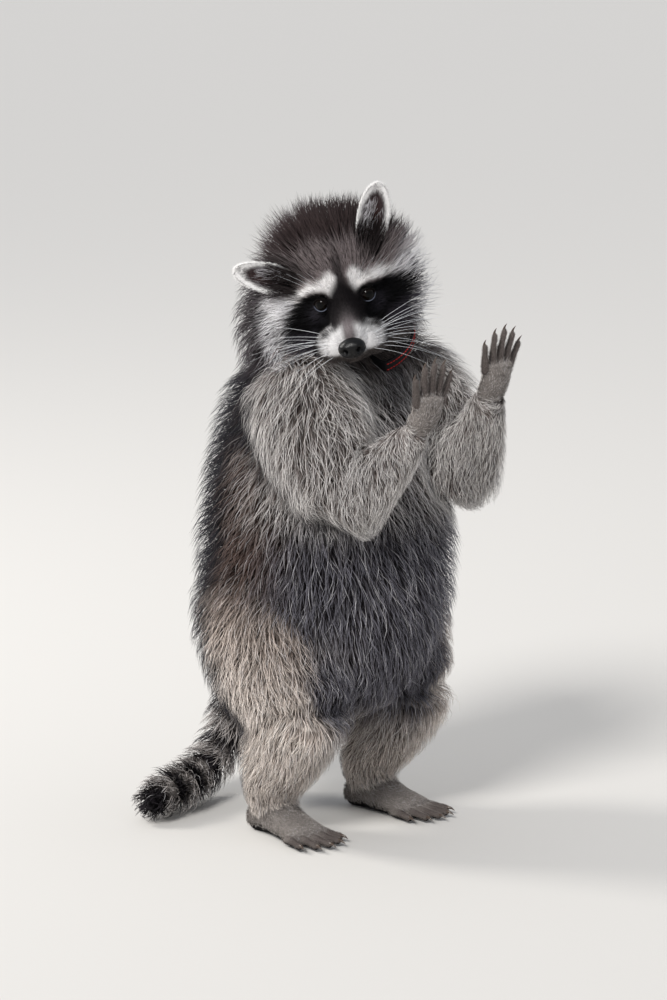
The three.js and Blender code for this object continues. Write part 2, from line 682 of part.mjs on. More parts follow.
const pieceNames = {
  upperArm: 'upper_arm', forearm: 'forearm', thigh: 'thigh', shank: 'shank',
};
function addLimbPiece(part, name) {
  const limb = limbs[name];
  const locks = grow(`${part}_${name}`, limb.forms[part], plans[part]);
  addPiece(`${pieceNames[part]}_${name}`, joined([limb.cores[part], ...locks]), colours.tanFur);
}
for (const name of Object.keys(sides)) {
  addLimbPiece('upperArm', name);
  addLimbPiece('forearm', name);
  addPiece(`hand_${name}`, limbs[name].hand, colours.pawSkin);
  addPiece(`foot_${name}`, limbs[name].foot, colours.pawSkin);
}
const torsoLocks = grow('torso', torsoForm, plans.torso);
addPiece('torso', joined([torsoForm.solid().subtract(collarRoom), ...torsoLocks]), colours.greyFur);
for (const name of Object.keys(sides)) {
  addLimbPiece('thigh', name);
  addLimbPiece('shank', name);
}
tailSpans.forEach(([from, to], i) => {
  const length = tailForm.solid(0, from, to).subtract(floorBlock);
  const core = i ? length : length.subtract(torsoRoom);
  const plan = { ...plans.tail, from: from + plans.tail.from, to: to - plans.tail.from };
  const locks = grow(`tail_${i + 1}`, tailForm, plan);
  addPiece(`tail_${i + 1}`, joined([core, ...locks]), i % 2 ? colours.paleFur : colours.darkFur);
});

// The origin goes to the middle of the whole box, on the floor.
const box = new THREE.Box3().setFromObject(raccoon);
const middle = box.getCenter(new THREE.Vector3());
raccoon.position.set(-middle.x, -middle.y, -box.min.z);
raccoon.updateMatrixWorld(true);

export default raccoon;
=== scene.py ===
# A life-size raccoon that stands upright on its hind feet and tail, forepaws raised,
# head turned to its right and tilted. The skin is one mesh; the coat is solid tufts on it.
import bpy
import numpy as np
from mathutils import Matrix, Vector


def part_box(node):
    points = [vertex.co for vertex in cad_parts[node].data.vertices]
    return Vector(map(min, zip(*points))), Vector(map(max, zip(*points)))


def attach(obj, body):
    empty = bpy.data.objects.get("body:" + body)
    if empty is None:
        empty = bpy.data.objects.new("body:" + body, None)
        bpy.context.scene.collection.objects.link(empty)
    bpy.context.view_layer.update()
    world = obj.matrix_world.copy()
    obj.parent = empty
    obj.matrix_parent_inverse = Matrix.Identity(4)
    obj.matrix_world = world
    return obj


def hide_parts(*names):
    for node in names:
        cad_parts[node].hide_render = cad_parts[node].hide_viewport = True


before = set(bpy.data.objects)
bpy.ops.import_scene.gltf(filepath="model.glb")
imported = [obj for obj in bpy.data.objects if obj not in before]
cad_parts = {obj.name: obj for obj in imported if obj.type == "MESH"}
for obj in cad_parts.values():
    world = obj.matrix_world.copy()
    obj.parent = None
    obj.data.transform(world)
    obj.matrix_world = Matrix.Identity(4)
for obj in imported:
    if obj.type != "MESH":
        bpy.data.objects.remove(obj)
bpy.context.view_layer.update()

print("frame loaded:", len(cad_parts), "nodes")


# small helpers; points are rows of x, y, z in metres unless a note says mm

def unit(vectors):
    return vectors / np.maximum(np.linalg.norm(vectors, axis=-1, keepdims=True), 1e-12)


def dot(a, b):
    return (a * b).sum(-1)


def smooth(low, high, value):
    # 0 below low, 1 above high, an S curve between
    t = np.clip((value - low) / (high - low), 0.0, 1.0)
    return t * t * (3.0 - 2.0 * t)


def mix(a, b, share):
    share = np.asarray(share)[..., None]
    return a * (1 - share) + b * share


def tone(red, green, blue):
    # a colour as the eye reads it, 0 to 255, turned into light
    return (np.array([red, green, blue], float) / 255) ** 2.2


latticeSize = 32
latticeTable = np.random.default_rng(11).uniform(-1, 1, (3, latticeSize, latticeSize, latticeSize))


def softNoise(points, cell, layer=0):
    # random heights on a lattice, joined by S curves: -1 to 1, one hump a cell
    q = points / cell + 7.3 * layer
    low = np.floor(q).astype(int)
    f = q - low
    f = f * f * (3 - 2 * f)
    total = 0.0
    for corner in range(8):
        step = np.array([corner & 1, corner >> 1 & 1, corner >> 2 & 1])
        i, j, k = ((low + step) % latticeSize).T
        total = total + latticeTable[layer % 3, i, j, k] * np.prod(np.where(step, f, 1 - f), axis=1)
    return total


def turnMatrix(nod, tilt, turn):
    # nod about X, then tilt about Y, carried round Z: Rz * Rx * Ry
    n, t, z = np.radians([nod, tilt, turn])
    aboutZ = np.array([[np.cos(z), -np.sin(z), 0], [np.sin(z), np.cos(z), 0], [0, 0, 1]])
    aboutX = np.array([[1, 0, 0], [0, np.cos(n), -np.sin(n)], [0, np.sin(n), np.cos(n)]])
    aboutY = np.array([[np.cos(t), 0, np.sin(t)], [0, 1, 0], [-np.sin(t), 0, np.cos(t)]])
    return aboutZ @ aboutX @ aboutY


# where the head sits: its own frame has its origin between the eyes, nose towards -Y

head = {
    "nod": 16.6, "tilt": -13.6, "turn": -43.6,      # degrees
    "eyesAt": (-56.2, -71.5, 489.7),                # mm, before the frame's shift
    "eyeCentre": (18.6, 3, -1), "eyeRadius": 8.2,   # mm, in the head's frame, left eye
    "gaze": (0.42, -0.9, 0.12),
}
headAxes = turnMatrix(head["nod"], head["tilt"], head["turn"])
eyeBox = np.array([tuple(corner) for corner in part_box("eye_left")])
frameShift = eyeBox.mean(0) - (headAxes @ np.array(head["eyeCentre"]) + head["eyesAt"]) / 1000


def placed(stations):
    # mm before the shift to metres in the frame
    return np.asarray(stations, float) / 1000 + frameShift


def fromHead(points):
    return (points @ headAxes.T + np.array(head["eyesAt"])) / 1000 + frameShift


def toHead(points):
    return (points - frameShift - np.array(head["eyesAt"]) / 1000) @ headAxes * 1000


# body forms: oval rings along a smooth path

def throughPoints(points, t, weighted=True):
    # a cubic through every station whose slopes come from its neighbours, weighted on a path
    # by the root of their distance
    points = np.asarray(points, float)
    place = np.clip(t, 0, 1) * (len(points) - 1)
    i = np.minimum(place.astype(int), len(points) - 2)
    w = (place - i)[:, None]
    padded = np.vstack([2 * points[0] - points[1], points, 2 * points[-1] - points[-2]])
    a, b, c, d = padded[i], padded[i + 1], padded[i + 2], padded[i + 3]
    start, end = 0.5 * (c - a), 0.5 * (d - b)
    if weighted:
        ab, bc, cd = (np.linalg.norm(step, axis=1)[:, None] ** 0.5 for step in (b - a, c - b, d - c))
        start = bc * ((b - a) / ab - (c - a) / (ab + bc) + (c - b) / bc)
        end = bc * ((c - b) / bc - (d - b) / (bc + cd) + (d - c) / cd)
    return b + start * w + (3 * (c - b) - 2 * start - end) * w**2 + (2 * (b - c) + start + end) * w**3


ringCount = 61          # stations kept of each form


def makeForm(kind, stations, square=2.15, ends=(6, 6), fullness=None, inHead=False, hang=0.0):
    # stations: x, y, z, half width, half depth, coat depth in mm; ends: height of the domes
    t = np.linspace(0, 1, ringCount)
    table = np.asarray(stations, float)
    centre = throughPoints(table[:, :3], t)
    size = np.maximum(throughPoints(table[:, 3:], t, False), 0.3) / 1000
    if inHead:
        along = np.tile([0.0, 1.0, 0.0], (ringCount, 1))
    else:
        nudge = 1e-4
        along = unit(throughPoints(table[:, :3], t + nudge) - throughPoints(table[:, :3], t - nudge))
    side = unit(np.array([1.0, 0, 0]) - along * along[:, :1])
    front = np.cross(side, along)
    if inHead:
        centre = fromHead(centre)
        along, side, front = (axis @ headAxes.T for axis in (along, side, front))
    else:
        centre = placed(centre)
    gaps = np.linalg.norm(np.diff(centre, axis=0), axis=1)
    reach = np.concatenate([[0], np.cumsum(gaps)])
    slope = np.gradient(size[:, :2].mean(1), reach)
    return dict(kind=kind, centre=centre, along=along, side=side, front=front, size=size, slope=slope,
                reach=reach, square=square, ends=np.array(ends) / 1000, fullness=fullness, hang=hang,
                inHead=inHead)


def ringAt(form, v):
    # every quantity of a form at stations v, straight lines between its rings
    place = np.clip(v, 0, 1) * (ringCount - 1)
    i = np.minimum(place.astype(int), ringCount - 2)
    w = place - i
    kept = ("centre", "along", "side", "front", "size")
    return [mix(form[key][i], form[key][i + 1], w) for key in kept]


def formGrid(form, around, rows, more=0.0):
    # the form's skin as a closed grid: ring point = centre + side*a*cos' + front*b*sin', with
    # cos' and sin' raised to 2/square; domes close both ends
    power = 2 / form["square"]
    turn = np.linspace(0, 2 * np.pi, around, endpoint=False)
    cosine = np.sign(np.cos(turn)) * np.abs(np.cos(turn)) ** power
    sine = np.sign(np.sin(turn)) * np.abs(np.sin(turn)) ** power
    dome = np.linspace(0, np.pi / 2, 6)[1:-1]
    v = np.concatenate([np.zeros(4), np.linspace(0, 1, rows), np.ones(4)])
    scale = np.concatenate([np.cos(dome[::-1]), np.ones(rows), np.cos(dome)])
    push = np.concatenate([-np.sin(dome[::-1]) * form["ends"][0], np.zeros(rows),
                           np.sin(dome) * form["ends"][1]])
    centre, along, side, front, size = ringAt(form, v)
    centre = centre + along * push[:, None]
    wide = ((size[:, 0] + more) * scale)[:, None, None]
    deep = ((size[:, 1] + more) * scale)[:, None, None]
    points = (centre[:, None] + side[:, None] * wide * cosine[None, :, None]
              + front[:, None] * deep * sine[None, :, None])
    first = centre[0] - along[0] * (form["ends"][0] + push[0])
    last = centre[-1] + along[-1] * (form["ends"][1] - push[-1])
    return closedTube(points, first, last)


def closedTube(rings, first, last):
    # rings of equal count joined by four-sided faces, fans to a point at both ends
    rows, around = rings.shape[:2]
    points = np.vstack([rings.reshape(-1, 3), first, last])
    here = np.arange(around)
    after = (here + 1) % around
    row = (np.arange(rows - 1) * around)[:, None]
    above = row + around
    quads = np.stack([row + here, row + after, above + after, above + here], -1).reshape(-1, 4)
    end = (rows - 1) * around
    fans = np.vstack([np.stack([after, here, np.full(around, rows * around)], -1),
                      np.stack([end + here, end + after, np.full(around, rows * around + 1)], -1)])
    return points, quads, fans


def ballGrid(centre, radii, axes=None, around=28, rows=18):
    # an ellipsoid: centre + axes * (radii * direction)
    polar = np.linspace(0, np.pi, rows + 2)[1:-1, None]
    turn = np.linspace(0, 2 * np.pi, around, endpoint=False)[None]
    direction = np.stack([np.sin(polar) * np.cos(turn), np.sin(polar) * np.sin(turn),
                          np.cos(polar) + 0 * turn], -1)
    axes = np.eye(3) if axes is None else axes
    points = np.array(centre) + (direction * radii) @ axes.T
    poles = [np.array(centre) + sign * radii[2] * axes[:, 2] for sign in (1, -1)]
    points, quads, fans = closedTube(points, *poles)
    return points, quads[:, ::-1], fans[:, ::-1]


def makeMesh(name, parts, material=None, flat=False):
    # one object from (points, quads, triangles) parts, through flat arrays
    points, faces, sizes, base = [], [], [], 0
    for part in parts:
        points.append(part[0])
        for block in part[1:]:
            faces.append((block + base).ravel())
            sizes.append(np.full(len(block), block.shape[1]))
        base += len(part[0])
    points, faces, sizes = np.vstack(points), np.concatenate(faces), np.concatenate(sizes)
    points[:, 2] = np.maximum(points[:, 2], 0)
    mesh = bpy.data.meshes.new(name)
    mesh.vertices.add(len(points))
    mesh.vertices.foreach_set("co", points.astype(np.float32).ravel())
    mesh.loops.add(len(faces))
    mesh.loops.foreach_set("vertex_index", faces.astype(np.int32))
    mesh.polygons.add(len(sizes))
    mesh.polygons.foreach_set("loop_start", (np.cumsum(sizes) - sizes).astype(np.int32))
    mesh.polygons.foreach_set("use_smooth", np.full(len(sizes), not flat))
    mesh.update()
    mesh.validate()
    thing = bpy.data.objects.new(name, mesh)
    bpy.context.scene.collection.objects.link(thing)
    if material:
        mesh.materials.append(material)
    return thing


def addAttribute(thing, name, values):
    # per-point numbers or colours
    values = np.asarray(values, np.float32)
    if values.ndim == 1:
        thing.data.attributes.new(name, "FLOAT", "POINT").data.foreach_set("value", values)
    else:
        full = np.ones((len(values), 4), np.float32)
        full[:, :3] = values
        thing.data.attributes.new(name, "FLOAT_COLOR", "POINT").data.foreach_set("color", full.ravel())


# the animal's stations: x, y, z, half width, half depth, coat depth (mm)

def cheekFullness(angle, v):
    # the head's coat: deepest on the cheeks, thin on the forehead, thick on the crown, with a ruff
    # behind the right cheek
    upwards = np.sin(angle)
    sideways = np.abs(np.cos(angle)) ** 1.5
    ruff = 1.3 * np.maximum(0, v - 0.57) * np.maximum(0, np.cos(angle - np.radians(140))) ** 4
    return 0.65 + 0.95 * sideways * (0.72 - 0.45 * upwards) + (v - 0.57) * np.maximum(0, upwards) + ruff


def napeFullness(angle, _):
    # the neck's coat: thin at the throat and behind the right cheek, deep on the nape
    hollow = 0.16 * np.maximum(0, np.cos(angle - np.radians(135))) ** 4
    return 0.7 - 0.35 * np.cos(angle + np.radians(135)) - hollow


def mirrored(stations, sign):
    return [[sign * row[0], *row[1:]] for row in stations]


torsoStations = [
    [8, 0, 440, 50, 48, 30], [7, 3, 408, 62, 58, 27], [4, 5, 370, 75, 71, 27], [1, 5, 330, 83, 79, 27],
    [0, 5, 285, 87, 84, 27], [0, 7, 240, 88, 87, 27], [0, 13, 198, 85, 87, 27], [0, 24, 158, 68, 74, 27],
    [0, 36, 128, 40, 46, 27]]
headStations = [
    [0, -54, -24, 8, 8, 2], [0, -44, -23, 12, 12, 4], [0, -30, -21, 14, 14, 5], [0, -16, -17, 12, 17, 4],
    [0, -4, -11, 14, 23, 3], [0, 10, -9, 31, 33, 6], [0, 24, -13, 45, 44, 20], [0, 40, -9, 48, 49, 28],
    [0, 58, 1, 41, 42, 29], [0, 75, 5, 28, 28, 29]]
thighStations = [[48, 28, 222, 48, 54, 20], [56, 14, 184, 48, 56, 20], [62, -6, 148, 42, 50, 20],
                 [66, -26, 120, 33, 38, 15]]
shankStations = [[66, -26, 122, 32, 36, 16], [65, -10, 90, 27, 29, 15], [63, 8, 56, 20, 22, 14],
                 [62, 20, 26, 14, 16, 8]]
footStations = [[62, 31, 11, 12, 12, 3], [63, 8, 16, 15, 16, 3], [66, -18, 11, 19, 11, 2],
                [68, -38, 7, 22, 8, 2]]
upperArmStations = [[62, -20, 404, 36, 40, 18], [73, -56, 364, 30, 33, 22], [73, -86, 322, 24, 26, 20]]
foreArmStations = {
    -1: [[73, -90, 316, 22, 24, 16], [61, -120, 344, 16, 18, 9], [46, -148, 380, 11, 12, 4]],
    1: [[73, -88, 322, 22, 24, 16], [63, -118, 358, 16, 18, 9], [50, -144, 400, 11, 12, 4]]}
tailStations = [
    [4, 94, 176, 15, 15, 15], [8, 120, 126, 14, 14, 15], [7, 134, 80, 12, 12, 15],
    [-6, 141, 45, 11, 11, 15], [-33, 140, 27, 10, 10, 15], [-64, 130, 23, 10, 10, 15],
    [-94, 121, 22, 9, 9, 15], [-122, 113, 19, 6, 6, 12]]
nape = headAxes @ np.array([0, 46, -10]) + head["eyesAt"]
neckStations = [[*nape, 36, 32, 24], [2, 13, 464, 54, 50, 44], [8, 7, 424, 59, 56, 38]]

forms = [
    makeForm("head", headStations, ends=(3, 6), fullness=cheekFullness, inHead=True),
    makeForm("neck", neckStations, fullness=napeFullness),
    makeForm("torso", torsoStations, ends=(4, 12)),
    makeForm("tail", tailStations, ends=(4, 3)),
]
digitSets = []          # kind, root, reach, spread, radius, length of each paw's five digits
for sign in (-1, 1):
    forms += [
        makeForm("thigh", mirrored(thighStations, sign), ends=(10, 10)),
        makeForm("shank", mirrored(shankStations, sign), ends=(4, 4)),
        makeForm("foot", mirrored(footStations, sign), square=2.4, ends=(7, 4)),
        makeForm("upperArm", mirrored(upperArmStations, sign), ends=(8, 6), hang=0.5),
        makeForm("forearm", mirrored(foreArmStations[sign], sign), ends=(4, 2), hang=0.75),
    ]
    wrist = np.array(mirrored(foreArmStations[sign], sign)[2][:3], float)
    palm, knuckles = wrist + [-sign * 2, -9, 16], wrist + [-sign * 3, -13, 31]
    handStations = [[*wrist, 11, 9, 3], [*palm, 14, 8, 3], [*knuckles, 16, 6, 2]]
    forms.append(makeForm("hand", handStations, ends=(4, 3)))
    digitSets.append(("toe", np.array([sign * 68.5, -40, 5.2]), np.array([sign * 0.06, -1, 0]),
                      np.array([sign * 18.5, 0, 0]), 3.9, 27))
    digitSets.append(("finger", wrist + [-sign * 3, -14, 35], unit(np.array([sign * 0.03, -0.22, 0.97])),
                      np.array([15, 0, 0]), 3.0, 25))
clawStations = []
for kind, root, reach, spread, radius, length in digitSets:
    for i in range(-2, 3):
        share = 1 - 0.07 * i * i
        heading = unit(reach + unit(spread) * 0.13 * i)
        start = root + spread * i / 2 - reach * (6 + 1.2 * i * i)
        joint = start + heading * length * share * 0.5 + [0, 0, 1]
        tip = start + heading * (length * share + 6)
        digitStations = [[*start, radius, radius, 2], [*joint, radius * 0.98, radius * 1.02, 1.6],
                         [*(joint * 0.45 + tip * 0.55), radius * 0.82, radius * 0.82, 1.4],
                         [*tip, radius * 0.8, radius * 0.84, 1]]
        forms.append(makeForm(kind, digitStations, square=2.0, ends=(0.5, 3)))
        clawStations.append((kind, tip, heading, radius))
print("forms laid out:", len(forms))


# the collar's path: the coat is pressed flat under it where it shows and hides it elsewhere

collar = {"at": (-3.5, -16, 454), "axis": (-0.38, -0.32, 0.87), "throat": (-0.17, -0.9, -0.4),
          "reach": (68, 59), "width": 11, "thickness": 2.6, "rows": (-3.0, 3.0),
          "shown": (3, 106), "sunk": 26, "buried": -0.012}     # mm, degrees, mm, m


def collarAxes():
    axis = unit(np.array(collar["axis"]))
    throat = np.array(collar["throat"])
    throat = unit(throat - axis * (throat @ axis))
    return axis, throat, np.cross(axis, throat)


def collarPath(turn, out, up):
    # centre + throat*cos*a + across*sin*b, out from the skin side, up along the axis; it sinks
    # into the coat where it isn't seen
    axis, throat, across = collarAxes()
    a, b = collar["reach"]
    degrees = np.degrees(np.arctan2(np.sin(turn), np.cos(turn)))
    start, end = collar["shown"]
    out = out - collar["sunk"] * (1 - smooth(start - 9, start, degrees) * smooth(end + 20, end, degrees))
    return placed(np.array(collar["at"]) + throat * ((a + out) * np.cos(turn))[..., None]
                  + across * ((b + out) * np.sin(turn))[..., None] + axis * up[..., None])


def underCollar(points, depth, distance):
    # the coat's depth near the strap: up to its inner side where the strap is seen, over it
    # where it isn't
    axis, throat, across = collarAxes()
    offset = (points - frameShift) * 1000 - collar["at"]
    a, b = collar["reach"]
    x, y, up = offset @ throat / a, offset @ across / b, offset @ axis
    turn = np.degrees(np.arctan2(y, x))
    start, end = collar["shown"]
    shown = smooth(start - 5, start + 5, turn) * smooth(end + 8, end - 8, turn)
    ratio = np.hypot(x, y)
    gap = (1 - ratio) * (a + b) / 2000 + distance
    inside = smooth(1.5, 1.3, ratio)
    pressed = np.clip(gap - 0.006, 0.001, 0.030)
    depth = mix(depth[:, None], pressed[:, None], smooth(18, 9, np.abs(up)) * inside * shown)[:, 0]
    hidden = np.clip(gap + collar["buried"], 0, 0.046)
    return np.maximum(depth, hidden * smooth(40, 16, np.abs(up + 4)) * inside * (1 - shown) * (x > -0.5))


# a field round the body: for any points, how far above the skin they are, which way is
# out, which way the coat lies, how deep it is and where on which form they sit

def readForm(form, points):
    if form["inHead"]:
        ring = np.abs(dot(points[:, None] - form["centre"][None], form["along"][None])).argmin(1)
    else:
        ring = ((points[:, None] - form["centre"][None]) ** 2).sum(-1).argmin(1)
    gap = form["reach"][-1] / (ringCount - 1)
    v = (ring + dot(points - form["centre"][ring], form["along"][ring]) / gap) / (ringCount - 1)
    centre, along, side, front, size = ringAt(form, v)
    offset = points - centre
    x, y, z = dot(offset, side), dot(offset, front), dot(offset, along)
    wide, deep, power = size[:, 0], size[:, 1], form["square"]
    beyond = np.where(v < 0, np.minimum(z, 0) / form["ends"][0],
                      np.where(v > 1, np.maximum(z, 0) / form["ends"][1], 0))
    oval = (np.abs(x / wide) ** power + np.abs(y / deep) ** power + 1e-9) ** (1 / power)
    ratio = np.maximum(np.sqrt(oval**2 + beyond**2), 0.25)
    distance = np.sqrt(x**2 + y**2 + z**2) * (1 - 1 / ratio)
    slope = np.interp(v, np.linspace(0, 1, ringCount), form["slope"])
    sidewards = np.abs(x / wide) ** (power - 1) * np.sign(x) / wide
    forwards = np.abs(y / deep) ** (power - 1) * np.sign(y) / deep
    outward = unit(side * sidewards[:, None] + front * forwards[:, None])
    outward = unit(outward - along * slope[:, None] * (np.abs(beyond) < 0.01)[:, None]
                   + along * (beyond * 1.2)[:, None])
    angle = np.arctan2(y / deep, x / wide)
    depth = size[:, 2] * (form["fullness"](angle, np.clip(v, 0, 1)) if form["fullness"] else 1)
    lie = along * 1.0
    if form["inHead"]:
        lie = headLie(points)
    if form["hang"]:
        lie = unit(along * (1 - form["hang"]) + np.array([0, 0, -form["hang"]]))
    return distance, outward, lie, depth, angle, np.clip(v, 0, 1)


def headLie(points):
    # away from a spot inside the nose, more to the back on top than on the cheeks
    q = toHead(points)
    away = unit(q - [0, -58, -20])
    back = 0.5 - 0.45 * smooth(10, -14, q[:, 2]) * smooth(30, 48, np.abs(q[:, 0]))
    away = unit(away + back[:, None] * [0, 1.0, 0])
    return away @ headAxes.T


def readBody(points):
    # the nearest form gives the height and the place; the forms near by share in the direction,
    # lie and depth, by e^(-distance / 8 mm)
    count = len(points)
    best = np.full(count, 1e3)
    share = np.zeros(count)
    out = {"outward": np.zeros((count, 3)), "lie": np.zeros((count, 3)), "depth": np.zeros(count)}
    form, angle, station = np.zeros(count, int), np.zeros(count), np.zeros(count)
    reads = []
    for k, shape in enumerate(forms):
        room = shape["size"].max() + 0.045
        low, high = shape["centre"].min(0) - room, shape["centre"].max(0) + room
        index = np.nonzero(np.all((points > low) & (points < high), axis=1))[0]
        if not len(index):
            reads.append(None)
            continue
        read = readForm(shape, points[index])
        reads.append((index, read))
        closer = read[0] < best[index]
        chosen = index[closer]
        best[chosen] = read[0][closer]
        form[chosen], angle[chosen], station[chosen] = k, read[4][closer], read[5][closer]
    for k, found in enumerate(reads):
        if found is None:
            continue
        index, read = found
        w = np.exp(-(read[0] - best[index]) / 0.008)
        share[index] += w
        for key, value in (("outward", read[1]), ("lie", read[2])):
            out[key][index] += value * w[:, None]
        out["depth"][index] += read[3] * w
    share = np.maximum(share, 1e-9)
    out["outward"] = unit(out["outward"])
    lie = out["lie"] / share[:, None]
    lie = lie - out["outward"] * dot(lie, out["outward"])[:, None]
    out["lie"] = unit(lie)
    out["depth"] = underCollar(points, out["depth"] / share, best)
    out.update(distance=best, form=form, angle=angle, station=station)
    return out


kinds = np.array([form["kind"] for form in forms])


# the skin: body and head remeshed apart, the head, paws finer, then joined in one mesh

skin = {"bodyVoxel": 0.0034, "fineVoxel": 0.00135,     # m
        "smoothing": 4,                                # rounds
        # painted shade: the skin's tones are made darker by this factor, for the shadow it lies in under
        # the hair
        "shade": 0.72}                                 # how dark it lies under the hair


def remeshed(name, parts, voxel, smoothing):
    # one surface round overlapping closed forms
    thing = makeMesh(name, parts)
    remesh = thing.modifiers.new("union", "REMESH")
    remesh.mode = "VOXEL"
    remesh.voxel_size = voxel
    relax = thing.modifiers.new("relax", "SMOOTH")
    relax.factor = 0.5
    relax.iterations = smoothing
    evaluated = thing.evaluated_get(bpy.context.evaluated_depsgraph_get())
    mesh = evaluated.to_mesh()
    points = np.empty(len(mesh.vertices) * 3, np.float32)
    mesh.vertices.foreach_get("co", points)
    faces = np.empty(len(mesh.loops), np.int32)
    mesh.loops.foreach_get("vertex_index", faces)
    evaluated.to_mesh_clear()
    bpy.data.objects.remove(thing)
    print(name, "remeshed to", len(faces) // 4, "faces")
    return points.reshape(-1, 3).astype(float), faces.reshape(-1, 4)


fineKinds = ("head", "foot", "hand", "toe", "finger")
fine = [form for form in forms if form["kind"] in fineKinds]
coarse = [form for form in forms if form["kind"] not in fineKinds]
bodyParts = [formGrid(form, 48, 40) for form in coarse]
bodySkin = remeshed("bodySkin", bodyParts, skin["bodyVoxel"], skin["smoothing"])

face = {                                            # mm in the head's frame, degrees
    "padAt": (14, -30, -27), "padSize": (13.5, 19.5, 12.5), "padTurn": 9,
    "chinAt": (0, -32, -36), "chinSize": (10.5, 16, 6),
    "browAt": (20, 6, 10), "browSize": (12, 9, 6),
    "lipDepth": 2.2, "lipWidth": 1.5,
}
headParts = [formGrid(form, 64, 60) for form in fine]
for sign in (-1, 1):
    a = np.radians(sign * -face["padTurn"])
    turned = np.array([[np.cos(a), -np.sin(a), 0], [np.sin(a), np.cos(a), 0], [0, 0, 1]])
    for at, radii in (("padAt", "padSize"), ("browAt", "browSize")):
        ball = ballGrid(np.array(face[at]) * [sign, 1, 1], np.array(face[radii]), turned)
        headParts.append((fromHead(ball[0]), *ball[1:]))
ball = ballGrid(face["chinAt"], np.array(face["chinSize"]))
headParts.append((fromHead(ball[0]), *ball[1:]))
fineSkin = remeshed("fineSkin", headParts, skin["fineVoxel"], skin["smoothing"])


def lipLine():
    # the mouth's line in the head's frame: round the front under the nose, back along both sides
    turn = np.linspace(-1, 1, 81)
    side = np.sign(turn) * np.abs(turn) ** 0.85
    return np.stack([side * (10 + 15 * np.abs(turn)), -53 + 50 * np.abs(turn) ** 1.7,
                     -34.5 - 3 * np.cos(np.pi * turn) + 1.5 * np.abs(turn)], -1)


def nearest(points, line):
    return np.sqrt(((points[:, None] - line[None]) ** 2).sum(-1).min(1))


def eyeFrame(sign):
    # an eye's centre, its gaze, and across and up square to it
    gaze = unit(np.array(head["gaze"]) * [sign, 1, 1])
    across = unit(np.cross(gaze, [0, 0, 1]))
    return np.array(head["eyeCentre"]) * [sign, 1, 1], gaze, across, np.cross(across, gaze)


lids = {"wide": 52.0, "high": 36.0, "corner": 0.36, "rim": 1.1}   # degrees, -, mm


def lidSpread(q, sign):
    # how far from the middle of an eye's opening a point lies, 1 at the lids' edge, and how far
    # from the eye's centre
    centre, gaze, across, up = eyeFrame(sign)
    offset = q - centre
    reach = np.linalg.norm(offset, axis=1)
    ahead = np.maximum(dot(offset, gaze), 0.05)
    a = dot(offset, across) / ahead / np.tan(np.radians(lids["wide"]))
    b = dot(offset, up) / ahead / np.tan(np.radians(lids["high"]))
    b = b / np.maximum(1 - lids["corner"] * a**2, 0.3)
    spread = np.sqrt(a**2 + b**2)
    return np.where(dot(offset, gaze) > 0.1, spread, 9.0), reach, offset


def openFace(points):
    # press the skin back behind the lids, and draw the lips' line into the muzzle
    q = toHead(points)
    for sign in (-1, 1):
        spread, reach, offset = lidSpread(q, sign)
        near = reach < 22
        sunk = head["eyeRadius"] - 1.8
        aim = np.where(spread < 1.05, sunk, head["eyeRadius"] + 0.3 + 2.2 * smooth(1.0, 2.2, spread))
        share = near * (1 - smooth(1.5, 2.6, spread))
        share = np.where(spread < 1.05, near * 1.0, share)
        target = np.where(spread < 1.05, np.minimum(reach, sunk), reach * (1 - share) + aim * share)
        q = q + unit(offset) * ((target - reach) * (share > 0))[:, None]
    groove = nearest(q, lipLine())
    inward = unit(q - [0, -25, -26])
    dent = face["lipDepth"] * np.exp(-(groove / face["lipWidth"]) ** 2) * (q[:, 1] < 5)
    q = q - inward * dent[:, None]
    return fromHead(q)


isHead = np.linalg.norm(toHead(fineSkin[0]), axis=1) < 130
fineSkin[0][isHead] = openFace(fineSkin[0][isHead])


def lidRing(sign, around=72):
    # a rim round the eye: at angle f and step j the ray is gaze + across*cos f + up*sin f, spread
    # by j from inside the edge to the skin outside, at a radius that rises over the rim; the last
    # ring is joined to the first behind it
    centre, gaze, across, up = eyeFrame(sign)
    turn = np.linspace(0, 2 * np.pi, around, endpoint=False)
    spread = np.array([0.86, 0.95, 1.0, 1.08, 1.2, 1.38, 1.6, 1.9])[:, None]
    rim = lids["rim"]
    radius = head["eyeRadius"] + np.array([-0.9, 0.05, rim * 0.8, rim, 0.9, 0.9, 0.6, -1.2])
    high = np.tan(np.radians(lids["high"])) * (1 - lids["corner"] * np.cos(turn) ** 2)
    a = spread * np.cos(turn) * np.tan(np.radians(lids["wide"]))
    b = spread * np.sin(turn) * high
    ray = unit(gaze + across * a[..., None] + up * b[..., None])
    points = centre + ray * radius[:, None, None]
    here = np.arange(around)
    after = (here + 1) % around
    row = (np.arange(len(spread)) * around)[:, None]
    above = np.roll(row, -1, axis=0)
    quads = np.stack([row + here, row + after, above + after, above + here], -1).reshape(-1, 4)
    return fromHead(points.reshape(-1, 3)), quads


# mm and radians from upright; -1 is the right ear, 1 the left; dark: reach of the fur round its foot
ear = {
    "length": {-1: 62, 1: 56}, "lean": {-1: 1.13, 1: 0.38}, "dark": {-1: 34, 1: 23},
    "base": {-1: (-33, 35, 5), 1: (29.5, 35, 29)}, "halfWidth": 14.2, "thickness": 2.8, "widest": 0.45,
    "rows": 34, "columns": 30,
}


def earGrid():
    # t from foot to tip and s from edge to edge, closer together towards the rim
    t = np.sin(np.linspace(0, np.pi / 2, ear["rows"] + 1)) * 0.998
    s = np.sin(np.linspace(-np.pi / 2, np.pi / 2, ear["columns"] + 1))
    return np.meshgrid(t, s, indexing="ij")


